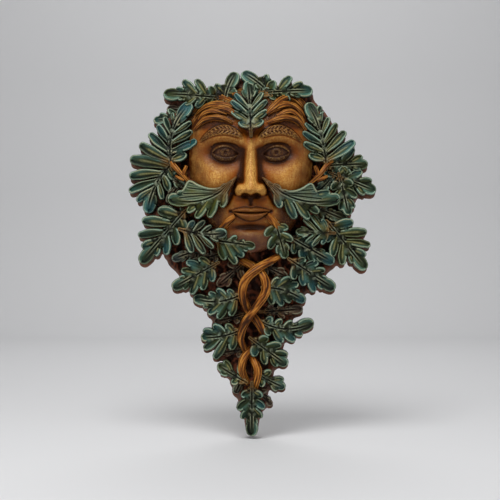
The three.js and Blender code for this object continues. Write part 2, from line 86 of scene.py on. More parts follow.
# Casting: the crowned ground behind the leaves, and half its width at heights on the sheet.
EDGE_THICKNESS = 8
MOUND_RISE = 15
MOUND_AT_ENDS = 0.35
LEAF_OVERHANG = 1.2
SHEET_HALF_HEIGHT = 165
BACKING_HALF_WIDTHS = [
    (152, 40),
    (144, 54),
    (125, 70),
    (100, 82),
    (40, 86),
    (-10, 76),
    (-40, 46),
    (-62, 35),
    (-104, 21),
    (-135, 11),
    (-155, 4),
]

# How leaves lie: in layers over the ground, arched from base to tip, drooping away from the midrib, and so
# far over the face.
LAYER_STEP = 4.5
LAYER_AT_TIP = 0.6
LEAF_ARCH = 2.5
LOBE_DROOP = 3
LEAF_OVER_FACE = 2.6
HOLLOW_OVER_FACE = 0.7

# Lobes: where they leave the midrib, in shares of its length, and how far in degrees they lean from it.
LOBES_FROM = 0.06
LOBES_TO = 0.7
LOBE_SETBACK = 0.3
END_AFTER = 0.04
BASE_LOBE_ANGLE = 76
LAST_LOBE_ANGLE = 36
STRAIGHTENING = 0.6
LOBE_CURL = 12
TURN_IN_REACH = 0.45

# Widths of lobes: the most in mm, and as shares of the leaf's length and a lobe's reach; the least, as shares
# of the reach of a lobe, a deeply cut leaf's and the end one; and the gap between two at the shoulder. Then
# neck and end as shares of the width, what the web adds to it, and how far back along the midrib lobes root.
LOBE_WIDTH = 12
LOBE_IN_LEAF = 0.26
LOBE_IN_REACH = 0.9
FULL_LOBE = 0.27
DEEP_LOBE = 0.15
FULL_END = 0.34
SHOULDER = 0.62
SINUS_WIDTH = 0.6
NECK = 0.6
DEEP_NECK = 0.55
POINTED = 0.8
BLUNT = 0.9
WEB_SWELL = 0.25
ROOT_BACK = 3.5
ROOT_IN_REACH = 0.2

# The blade that joins the lobes along the midrib: how far theirs overlap and how fast it narrows outwards,
# and for deeply cut leaves the half width as a share of the spacing.
BLADE_OVERLAP = 0.5
BLADE_TAPER = 0.75
DEEP_TAPER = 1.5
DEEP_BLADE = 0.4

# The midrib: how much of the leaf's length it takes, its stalk, and its radii from stalk to tip.
RIB_TO = 0.93
STALK_LENGTH = 5
STALK_RADIUS = 1.2
RIB_RADIUS = 1.5
RIB_TIP_RADIUS = 0.5

# Wings: shares of the midrib that their lower edge and their veins' roots take, how far veins go towards the
# edge, the midrib's radius at the root, the blend with the lobes, how far the lower edge spreads past the
# midrib at shares of the first, and the reach of the fan at the root and the angle of its ribs in degrees.
WING_TO = 0.72
WING_ROOTS_TO = 0.35
WING_VEIN_TO = 0.9
WING_ROOT_RADIUS = 0.3
WING_BLEND = 0.25
ROOT_SPREAD = ((1, 0), (0.8, 2), (0.6, 4), (0.4, 4.5), (0.2, 3), (0.05, 1))
FAN_REACH = 24
FAN_RIB = 6.5

# Relief of a leaf: how far its marks rise or sink, how far lobes lift and lean, and how its edge rounds off.
CREST_RISE = 0.8
HOLLOW_SINK = 1.3
SEAM_SINK = 0.9
VEIN_RISE = 0.4
LOBE_LIFT = 2.2
LOBE_LEAN = 0.9
EDGE_DROP = 1.2
EDGE_ROUND = 0.7

# Streaks of paint run along the lobes and the veins of wings: each has its own stretch of the pattern, and a
# vein is painted with so much of it.
STREAK_STRETCH = 40
WING_STREAK = 20

# Head: hairline to chin is three equal thirds, and the width is five eye widths. The outline is widest at a
# share of the length, and curves in from there to the jaw and the crown.
HEAD_LENGTH = 145
HEAD_WIDTH = 112
CHIN_HEIGHT = 4
HEAD_SIDE = -1
HEAD_WIDEST = 0.58
JAW_REACH = 0.6
CROWN_REACH = 0.62
CROWN_FROM = 0.72
CROWN_TO = 1.02
EYE_WIDTH = HEAD_WIDTH / 5
BROW_UP = HEAD_LENGTH * 2 / 3
NOSE_UP = HEAD_LENGTH / 3
MOUTH_UP = NOSE_UP * 2 / 3
EYE_UP = BROW_UP - EYE_WIDTH / 2

# Keyhole in the wall face, measured from the plaque's origin.
KEYHOLE_ENTRY = 13
KEYHOLE_SLOT = 6
KEYHOLE_RISE = 12
KEYHOLE_DEPTH = 9
KEYHOLE_LIP = 3
KEYHOLE_ABOVE_ORIGIN = 24

# The ground in the mesh: webs between lobes and between leaves, how far its outline stands out from theirs
# and hangs below it, its drop below what leaves lie on, its least height and rounded edge, the mass under a
# leaf, which falls away beyond it, and the ridges of bark.
LOBE_WEB = 0.5
UNDER_LEAF_WEB = 1.2
GROUND_WEB = 2.2
GROUND_PROUD = -0.5
GROUND_SAG = 3.2
GROUND_DROP = 5.5
GROUND_LEAST = 3.6
GROUND_ROUND = 3
BED_UNDER_LEAF = 7
BED_SLOPE = 3.5
GROUND_BARK = 2.2
BARK_WIDTH = 7
BARK_LENGTH = 10

# Where the face's back lies, how thick the face is at least, how far it stays below the plaque's front, and
# how deep leaves stand in the ground.
FACE_BACK = KEYHOLE_DEPTH + 2
LEAST_FACE = 1.5
FRONT_ROOM = 0.4
LEAF_IN_GROUND = 1.5

# Distance grids: their room round a leaf's lobes, all leaves and the face, and their steps. The ground heeds
# a leaf as far round it as the last value says.
ROUND_LEAF = 6
ROUND_LEAVES = 4
ROUND_FACE = (4, 10)
FINE_GRID = 0.5
COARSE_GRID = 1.0
NEAR_LEAF = 6

# Walls round an edge: how far out each step stands, and how far it drops from the edge. Where the outline
# turns back on itself, steps are shorter: each reach is tried, and where less of it is open than the first
# share, the second share of it is kept.
TO_BACK = 99
LEAF_WALL = ((0.2, 0.25), (0.32, 1), (0.3, 2.5), (0, TO_BACK))
GROUND_WALL = ((0.4, 0.5), (0.6, 3), (0.3, TO_BACK))
FACE_WALL = ((0.4, 0.6), (0.4, TO_BACK))
WALL_REACHES = (0.9, 0.6, 0.35, 0.15)
WALL_OPEN = 0.8
WALL_KEEPS = 0.4

# Paint on walls: the drop over which the front's marks fade, which marks those are, and the drop beyond which
# a leaf's wall has the coat of its side.
PAINT_DOWN_WALL = 2.5
FADING = ("crest", "hollow", "groove", "vein", "highlight_band")
WALL_EDGE = 5

# Rows of points set in from an edge, and the least length of an outline in steps of the mesh.
LEAF_INSETS = (0.4, 0.8, 1.3)
GROUND_INSETS = (0.7,)
FACE_INSETS = (0.5,)
LEAST_LOOP = 12

# Paint: the widths of the patterns that break up a coat, how far they do so, and its gloss and tooth.
BLOTCH = 9
STREAK = 2
STREAK_SQUASH = 0.25
LOBE_STREAK = 1.2
LOBE_STREAK_SQUASH = 0.12
SPECK = 1.3
PATTERN_LOW = 0.3
PATTERN_HIGH = 0.7
PATTERN_GAIN = 1.6
DULLER = 0.1
SHINIER = 0.07
STREAK_TOOTH = 2.5
TOOTH_STRENGTH = 0.6
PAINT_SPECULAR = 0.12

# Stems: sides and spacing of their sections, their width at both ends, and the wash and rubbing of the grain.
STEM_SIDES = 32
STEM_STEP = 0.8
VINE_ENDS = (0.8, 0.65)
TENDRIL_ENDS = (0.5, 0.35)
TWIG_ENDS = (0.8, 0.7)
WASH_IN_FLUTE = 4.0
WASH_IN_GRAIN = (0.54, 0.42)
RUBBED_GRAIN = (0.5, 0.62)

# Stage and camera, in metres but for the picture, in pixels; the lens is in millimetres.
STAGE_REACH = 2.5
WALL_BEHIND = 1.4
SWEEP_RADIUS = 0.3
LENS = 80
SENSOR = 36
PICTURE_SIZE = 500
PICTURE_MIDDLE = (253, 254)
MM_PER_PIXEL = 0.9

# Seed of the leaves' chance lifts, tones and tints.
LEAF_SEED = 11

# Leaf schedule: base x and z, tip x and z, sideways bend as a share of the length, layer, then the
# reach of each lobe from base to tip, first on the left of the growing direction, then on the right.
# A reach of nought leaves a gap.
LEAVES = {
    "crown": {
        "forehead": (-1, 109, -3, 156, 0, 4.2, (11, 18, 20, 18, 11), (12, 17, 19, 17, 10)),
        "crown_left": (-30, 141, -80, 146, 0, 2.6, (8, 12, 12, 8), (10, 17, 18, 11)),
        "crown_inner_left": (-24, 139, -14, 165, 0.05, 2.2, (13,), (9,)),
        "crown_inner_right": (14, 146, -9, 164, -0.05, 2.6, (7,), (12,)),
        "crown_inner_far": (8, 146, 14, 163, 0, 2.0, (7, 5), (7, 5)),
        "crown_right": (12, 145, 55, 149, 0, 2.6, (11, 17, 13), (8, 11, 9)),
        "behind_left_temple": (-58, 122, -89, 122, 0, 1, (8, 8, 6), (9, 12, 10)),
        "behind_right_temple": (56, 118, 62, 135, 0, 1, (7, 5), (9, 7)),
        "behind_left_crown": (-51, 126.5, -77, 133.5, 0, 0.6, (7, 6), (7, 6)),
    },
    "left": {
        "left_temple": (-72, 81, -55, 137, 0.13, 3.2, (30, 23, 18, 15, 11), (15, 25, 21, 19, 13)),
        "left_outer": (-73, 80, -94, 37, -0.09, 2.2, (12, 15, 15, 12), (35, 29, 26, 17)),
    },
    "right": {
        "right_temple": (66, 82, 50, 137, -0.05, 3.2, (15, 19, 19, 16, 11), (30, 25, 20, 16, 12)),
        "right_upper": (70, 80, 105, 82, 0, 2.4, (12, 19, 13), (9, 12, 10)),
        "right_outer": (74, 72, 112, 57, 0, 2, (11, 15, 14), (10, 15, 12)),
        "right_hanging": (79, 68, 87, 35, 0, 2.8, (11, 14, 12), (11, 14, 11)),
    },
    "moustache": {
        "moustache_left": (-14, 67.5, -75, 50, 0.17, 4.2, (0, 15, 20, 19, 13), (0, 0, 0, 0, 20)),
        "moustache_right": (9.5, 67, 79, 50, -0.15, 4.2, (0, 0, 0, 0, 22), (0, 15, 21, 20, 14)),
        "beside_right_cheek": (75, 72, 58, 55, 0, 1.7, (9, 9), (9, 8)),
        "beside_left_cheek": (-76, 74, -60, 60, 0, 1.7, (8, 7), (8, 8)),
        "under_right_moustache": (48, 46, 86, 30, 0, 1.5, (7, 9, 7), (8, 10, 8)),
        "under_left_moustache": (-62, 68, -76, 46, 0, 1.6, (7, 8), (7, 7)),
    },
    "jaw": {
        "right_jaw_outer": (70, 26, 103, -14, 0, 2.4, (19, 25, 23, 14), (13, 19, 19, 11)),
        "right_jaw_inner": (69, 19, 39, 20, 0, 3.2, (11, 14, 12, 8), (13, 20, 16, 9)),
        "right_jaw_under": (36, 14, 74, -8, 0, 1.7, (9, 10, 9), (12, 14, 13, 9)),
        "chin_right": (21, 27, 30, -4, 0, 2.6, (10, 13, 9), (13, 15, 10)),
        "left_jaw_outer": (-62, 36, -101, -8, 0, 2.4, (13, 17, 18, 12), (20, 27, 24, 15)),
        "behind_left_jaw": (-58, 36, -83, 41, 0, 1.2, (8, 7), (8, 7)),
        "left_jaw_inner": (-60, 21, -22, 19, -0.06, 3.2, (11, 14, 11, 7), (19, 20, 16, 10)),
        "left_jaw_under": (-43, 6, -72, -5, 0, 1, (10, 11, 8), (8, 9, 7)),
        "chin_left": (-30, 12, 3, 7, 0, 2.5, (7, 8, 6), (17, 21, 15, 9)),
    },
    "beard": {
        "beard_left_upper": (-34, -10, -72, -31, 0, 2.4, (13, 17, 18, 11), (13, 17, 14, 9)),
        "behind_beard_left": (-10, -10, -31, -29, 0, 1, (12, 11), (10, 9)),
        "behind_left_beard_side": (-30, 0, -55, -8, 0, 0.9, (7, 8, 6), (7, 8, 6)),
        "behind_beard_right": (10, -10, 32, -21, 0, 1, (9, 9), (9, 9)),
        "behind_right_middle": (12, -52, 46, -50, 0, 1, (7, 8, 6), (8, 9, 7)),
        "behind_left_lower": (-10, -55, -34, -62, 0, 1, (7, 7), (8, 7)),
        "behind_left_low": (-8, -86, -30, -90, 0, 1, (7, 7), (7, 6)),
        "beard_left_middle": (-13, -38, -53, -40, 0.1, 2.4, (16, 18, 15, 9), (9, 13, 12, 8)),
        "beard_left_lower": (-14, -70, -46, -76, 0.05, 2.3, (15, 24, 17), (10, 14, 14)),
        "beard_left_low": (-9, -113, -31, -101, 0, 2.2, (8, 9), (14, 12)),
        "beard_left_foot": (-8, -110, -15, -127, 0, 1.3, (6,), (7,)),
        "beard_right_upper": (37, -7, 75, -32, 0, 2.2, (9, 14, 13, 8), (14, 15, 17, 11)),
        "beard_right_inner": (14, -30, 48, -43, 0.08, 2.8, (11, 15, 14, 8), (15, 16, 12, 8)),
        "beard_right_middle": (9, -61, 56, -62, -0.13, 2.3, (8, 9, 10, 8), (10, 15, 15, 11)),
        "beard_right_lower": (2, -78, 32, -101, 0, 2.4, (11, 15, 14), (12, 14, 12)),
        "beard_right_low": (7, -109, 30, -122, 0, 2.2, (9, 11), (9, 10)),
        "behind_foot": (5, -124, 18, -138, 0, 1, (7, 6), (7, 6)),
        "foot": (0, -120, 0, -165, 0, 2.4, (10, 13, 12, 8), (10, 15, 13, 8)),
    },
}

# The smooth upper edge of a leaf whose lobes on one side run together into a wing, from base to tip.
WINGS = {
    "moustache_left": (
        (-16, 66.5), (-20, 64), (-25.5, 60), (-32, 58), (-39, 58.5), (-47, 61.5),
        (-52.5, 65), (-55.5, 66), (-58, 64), (-60, 59.5), (-64, 54), (-68, 50),
    ),
    "moustache_right": (
        (12, 66), (17, 63), (22.5, 59), (29, 56), (37, 56), (44, 58.5),
        (49.5, 62.5), (52.5, 63.5), (54.8, 61.5), (56.5, 57.5), (60, 53.5), (65, 49),
    ),
}

# Leaves cut almost to the midrib between their lobes.
DEEPLY_CUT = ("forehead", "left_temple", "right_temple", "left_outer", "right_jaw_inner", "left_jaw_inner")

# Which leaves are painted olive rather than teal, from 0 to 1, the most that other leaves draw, and which are
# brown.
OLIVE = {
    "moustache_left": 1.0,
    "moustache_right": 0.45,
    "chin_right": 0.7,
    "right_jaw_inner": 0.4,
    "crown_right": 0.6,
    "crown_left": 0.45,
    "right_upper": 0.5,
    "beard_left_upper": 0.3,
    "beard_right_middle": 0.3,
}
OLIVE_DRAWN_TO = 0.55
BROWN = {
    "behind_left_crown": 0.8,
    "behind_left_beard_side": 0.8,
    "behind_beard_left": 0.95,
    "behind_beard_right": 0.95,
    "behind_left_jaw": 0.5,
    "left_jaw_inner": 0.2,
    "behind_right_middle": 0.9,
    "behind_left_lower": 0.95,
    "behind_left_low": 0.95,
    "under_left_moustache": 0.8,
    "under_right_moustache": 0.35,
    "beard_left_foot": 0.6,
    "behind_foot": 0.8,
    "left_jaw_under": 0.5,
}

# Stems: points as x, height above the wall and z, then the diameter.
VINES = [
    (
        ((24, 22, -2), (5, 31, -13), (-6, 33, -24), (-8, 31, -37),
         (-3, 25, -51), (5, 26, -61), (10, 25, -70), (13, 20, -80)),
        8,
    ),
    (
        ((-12, 20, -5), (1, 24, -11), (11, 29, -22), (12, 31, -34),
         (4, 33, -47), (-6, 31, -61), (-10, 27, -75), (-5, 20, -89)),
        8,
    ),
    (((1, 18, -84), (-7, 26, -93), (-9, 25, -105), (-3, 18, -117)), 7),
    (((-1, 20, -92), (5, 25, -103), (4, 24, -115), (0, 17, -127)), 7),
]
MOUTH_STEMS = [
    (((-15, 40.5, 34), (-20, 39, 30), (-26, 33, 23), (-31, 26, 18)), 7),
    (((13, 40.5, 34), (18, 39, 30), (24, 33, 23), (30, 26, 18)), 7),
]
TWIGS = [
    (((-76, 18, 86), (-70, 24, 80), (-63, 27, 72), (-54, 27, 63)), 4.5),
    (((-61, 27, 69), (-60, 28, 74), (-58, 28, 79)), 4),
    (((-60, 27, 66), (-64, 26, 68), (-68, 24, 70)), 3.6),
    (((74, 18, 86), (67, 24, 80), (61, 27, 72), (52, 27, 63)), 4.5),
    (((59, 27, 69), (58, 28, 74), (56, 28, 79)), 4),
    (((58, 27, 66), (63, 26, 68), (67, 24, 70)), 3.6),
]
# Locks on the forehead: their heights are over the face.
TENDRILS = [
    (((-17, 1, 136), (-29, 3, 141), (-40, 3.5, 140), (-49, 2.5, 134), (-56, 1, 123)), 8),
    (((-17, 1, 131), (-29, 2.5, 133), (-40, 3, 131), (-48, 2, 125), (-54, 1, 114)), 8),
    (((-47, 1, 120), (-42, 2.5, 125), (-36, 3, 127), (-29, 1.5, 126), (-22, 1, 124)), 5.5),
    (((-14, 1, 143), (-25, 2, 145), (-38, 2, 144), (-50, 1, 137)), 7),
    (((-50, 1, 127), (-54, 2, 119), (-56, 1, 108)), 6),
    (((13, 1, 124), (20, 2.5, 131), (27, 3.5, 138), (35, 3.5, 141), (43, 2.5, 136), (50, 1, 126)), 8),
    (((13, 1, 143), (24, 2, 146), (36, 2, 144), (45, 2, 137), (52, 1, 129)), 7),
    (((16, 1, 126), (26, 2, 132), (34, 2.5, 133), (42, 2, 128), (49, 1, 118)), 7.5),
    (((22, 1, 122), (30, 2, 126), (36, 2.5, 126), (43, 2, 120), (48, 1, 111)), 6),
    (((46, 1, 132), (52, 2, 124), (54, 1, 112)), 6),
    (((-51, 1, 111), (-43, 2, 118.5), (-34, 2.5, 121), (-25, 2, 120), (-17, 1, 116)), 5.5),
    (((-12, 1, 120), (-18, 2.5, 126), (-25, 3, 129), (-33, 2.5, 130), (-41, 1, 128)), 6),
    (((14, 1, 116), (23, 2, 119.5), (32, 2.5, 121), (41, 2, 118), (48, 1, 109)), 5.5),
]


def mix(a, b, t):
    return a + (b - a) * t


def smoothstep(low, high, value):
    t = np.clip((value - low) / (high - low), 0, 1)
    return t * t * (3 - 2 * t)


def bump(x, z, half_x, half_z):
    """A rounded hill: 1 in the middle, and about a third at either half width."""
    return np.exp(-((x / half_x) ** 2) - (z / half_z) ** 2)


def turned(vector, degrees):
    c, s = math.cos(math.radians(degrees)), math.sin(math.radians(degrees))
    return np.array((c * vector[0] - s * vector[1], s * vector[0] + c * vector[1]))


def unit(vector):
    return vector / np.maximum(np.linalg.norm(vector, axis=-1, keepdims=True), 1e-9)


def backing_height(x, z):
    """Height of the casting's crowned ground over the wall."""
    down, halves = zip(*BACKING_HALF_WIDTHS[::-1])
    half = np.interp(z, down, halves)
    across = np.maximum(0, 1 - (x / (half * LEAF_OVERHANG)) ** 2)
    along = smoothstep(0, SHEET_HALF_HEIGHT / 3, SHEET_HALF_HEIGHT - np.abs(z))
    return EDGE_THICKNESS + MOUND_RISE * across * mix(MOUND_AT_ENDS, 1, along)


def head_half_width(z):
    """Half the head's width, z in mm above the chin."""
    up = z / HEAD_LENGTH
    reach = np.where(up < HEAD_WIDEST, JAW_REACH, CROWN_REACH)
    half = HEAD_WIDTH / 2 * np.sqrt(np.maximum(0.0004, 1 - ((up - HEAD_WIDEST) / reach) ** 2))
    crown = np.clip((up - CROWN_FROM) / (CROWN_TO - CROWN_FROM), 0, 0.9999)
    return half * np.sqrt(1 - crown**2)


def eye_relief(side, z, skin):
    """The eyeball and its lids, laid over the skin. side is measured out from the nose line."""
    u = side - EYE_WIDTH
    v = z - EYE_UP - 0.05 * u
    ball_front, ball_radius, lid = 36.5, 14.5, 1.5
    centre = ball_front - ball_radius
    ball = centre + np.sqrt(np.maximum(0, ball_radius**2 - u**2 - v**2))
    shell = centre + np.sqrt(np.maximum(0, (ball_radius + lid) ** 2 - u**2 - (v * 1.05) ** 2))
    arch = np.maximum(0, 1 - (u / 11.4) ** 2)
    upper, lower = 5.6 * arch**0.75, -3.9 * arch
    skin = mix(skin, np.maximum(skin, shell), smoothstep(1.15, 0.9, np.hypot(u / 15.5, v / 10.5)))
    crease = 5.4 + 3.6 * arch**0.5
    skin = skin - 1.3 * np.exp(-(((v - crease) / 0.8) ** 2)) * smoothstep(14, 9, np.abs(u))
    skin = skin - 0.8 * np.exp(-(((v + 6.6 * arch**0.4 + 1.2) / 0.9) ** 2)) * smoothstep(13, 7, np.abs(u))
    iris = np.hypot(u, v - 0.8)
    ball = ball - 0.45 * np.exp(-(((iris - 4.9) / 0.45) ** 2)) - 1.1 * smoothstep(2.1, 1.3, iris)
    opened = smoothstep(-0.25, 0.25, np.minimum(upper - v, v - lower)) * smoothstep(0, 0.04, arch)
    return mix(skin, ball, opened), opened


def mouth_relief(x, z):
    """The lips and what lies round them."""
    side = np.abs(x)
    line = MOUTH_UP + 1.3 * (side / 17) ** 2
    upper = line + 5.2 * np.maximum(0.02, 1 - (side / 17.5) ** 2) ** 0.8 - 0.9 * bump(x, 0, 2.6, 1)
    lower = line - 6.8 * np.maximum(0.02, 1 - (side / 15.5) ** 2)
    above = np.clip((z - line) / np.maximum(upper - line, 0.1), 0, 1)
    below = np.clip((line - z) / np.maximum(line - lower, 0.1), 0, 1)
    within = smoothstep(18, 15, side)
    height = 5.5 * bump(x, z - MOUTH_UP - 1, 22, 14)
    height = height + within * 2.6 * np.sin(np.pi * above) ** 0.8
    height = height + within * 3.4 * np.sin(np.pi * below) ** 0.8
    height = height - 1.9 * np.exp(-(((z - line) / 0.8) ** 2)) * smoothstep(19.5, 16, side)
    height = height - 1.4 * bump(side - 18, z - line, 2.2, 2.4)
    height = height - 1.1 * bump(x, 0, 2, 1) * smoothstep(37.5, 39.5, z) * smoothstep(48, 44, z)
    height = height - 3.2 * bump(x, z - 19.5, 15, 3.4)
    return height + 5.8 * bump(x, z - 9.5, 13, 8)


def nose_relief(x, z):
    """The nose's ridge, tip and wings."""
    side = np.abs(x)
    t = np.clip((z - NOSE_UP - 4) / (BROW_UP - NOSE_UP - 10), 0, 1)
    ridge = mix(15.2, 4.2, smoothstep(0, 1, t) * 0.55 + t * 0.45)
    heights = (NOSE_UP, NOSE_UP + 9, NOSE_UP + 26, BROW_UP - 8, BROW_UP + 4)
    half = np.interp(z, heights, (8.2, 7.4, 5.4, 5.0, 8))
    ends = smoothstep(NOSE_UP - 2.5, NOSE_UP + 4, z) * smoothstep(BROW_UP + 9, BROW_UP - 8, z)
    height = ends * ridge * np.exp(-((side / half) ** 2.4))
    height = height + 2.2 * bump(x, z - NOSE_UP - 6.5, 6.4, 6)
    height = height + 8.4 * bump(side - 9.6, z - NOSE_UP - 4.6, 4.4, 5.2)
    wing_edge = np.hypot(side - 9.4, (z - NOSE_UP - 5.5) * 0.85) - 6.4
    crease = 1.5 * np.exp(-((wing_edge / 1.1) ** 2)) * (side > 9.4)
    height = height - crease * smoothstep(NOSE_UP - 3, NOSE_UP + 3, z)
    return height - 5.5 * bump(side - 5.2, z - NOSE_UP + 0.2, 2.9, 2.1)


def brow_place(side, z):
    """How far along the leafy brow a point lies, from 0 to 1, and how far across it, from -1 to 1."""
    along = (side - 7) / 38
    middle = BROW_UP + 2.5 + 8.5 * np.sin(np.pi * np.clip(along, 0, 1)) ** 0.9 - 3 * np.clip(along, 0, 1)
    half = 4.4 * np.clip(np.sin(np.pi * np.clip(along, 0.0, 1) ** 0.8), 0.02, 1) ** 0.6
    return along, (z - middle) / half


def on_brow(along, across, edge):
    """1 on the brow, fading to nought past its ends and at its edge."""
    within = smoothstep(edge, 0.8, np.abs(across))
    return within * smoothstep(-0.03, 0.05, along) * smoothstep(1.03, 0.95, along)


def brow_relief(side, z):
    """The brow as a leaf with a rib, grooves across it and a raised rim."""
    along, across = brow_place(side, z)
    pad = on_brow(along, across, 1.12)
    veins = 0.5 + 0.5 * np.cos(2 * np.pi * (along * 11 - np.abs(across) * 1.3))
    groove = smoothstep(0.55, 0.95, veins) * smoothstep(1, 0.7, np.abs(across))
    rib = np.exp(-((across / 0.16) ** 2))
    rim = np.exp(-(((np.abs(across) - 0.88) / 0.14) ** 2))
    return pad * (2.1 - 1.3 * groove * (1 - rib) + 0.3 * rib + 0.45 * rim)


def face_height(x, z):
    """Height of the face over the wall; x from the nose line and z above the chin, in mm."""
    side = np.abs(x)
    across = np.clip(side / head_half_width(z), 0, 1)
    profile = 1 - 0.22 * ((z - 75) / 75) ** 2
    height = 17 + 22.5 * np.sqrt(np.maximum(0, 1 - across**2.6)) * profile - 12 * smoothstep(112, 150, z)
    arc = BROW_UP + 1 + 3.5 * np.sin(np.pi * np.clip((side - 6) / 42, 0, 1))
    brow_bone = 3.6 * np.exp(-(((z - arc) / 6.5) ** 2))
    height = height + brow_bone * smoothstep(2, 10, side) * smoothstep(50, 36, side)
    height = height - 8.5 * bump(side - EYE_WIDTH * 0.98, z - EYE_UP + 0.5, 15, 9.6)
    height = height + 5 * bump(side - 31, z - 63, 13.5, 11.5) + 2 * bump(side - 41, z - 75, 12, 8)
    crease = 12.8 + (58 - z) * 0.42
    fold = 1.5 * np.exp(-(((side - crease) / 2.3) ** 2))
    height = height - fold * smoothstep(34, 42, z) * smoothstep(60, 54, z)
    height, _ = eye_relief(side, z, height)
    return height + nose_relief(x, z) + mouth_relief(x, z) + brow_relief(side, z)


def face_floor(points):
    """Height of the face at points of the sheet, or nought beyond the head."""
    x, up = points[:, 0] - HEAD_SIDE, points[:, 1] - CHIN_HEIGHT
    half = np.where((up > -3) & (up < HEAD_LENGTH + 3), head_half_width(up), 0)
    return np.where(np.abs(x) < half * 0.97, face_height(x, up), 0)


def carrier_height(points):
    """What leaves lie on: the casting's ground, or the face where that stands higher."""
    return np.maximum(backing_height(points[:, 0], points[:, 1]), face_floor(points) - LAYER_STEP)


def skin_height(points):
    """What locks lie on: the face, or the ground beside it."""
    return np.maximum(face_floor(points), backing_height(points[:, 0], points[:, 1]) - GROUND_DROP)


def bezier(a, b, c, s):
    s = np.asarray(s)[..., None]
    return (1 - s) ** 2 * a + 2 * s * (1 - s) * b + s**2 * c


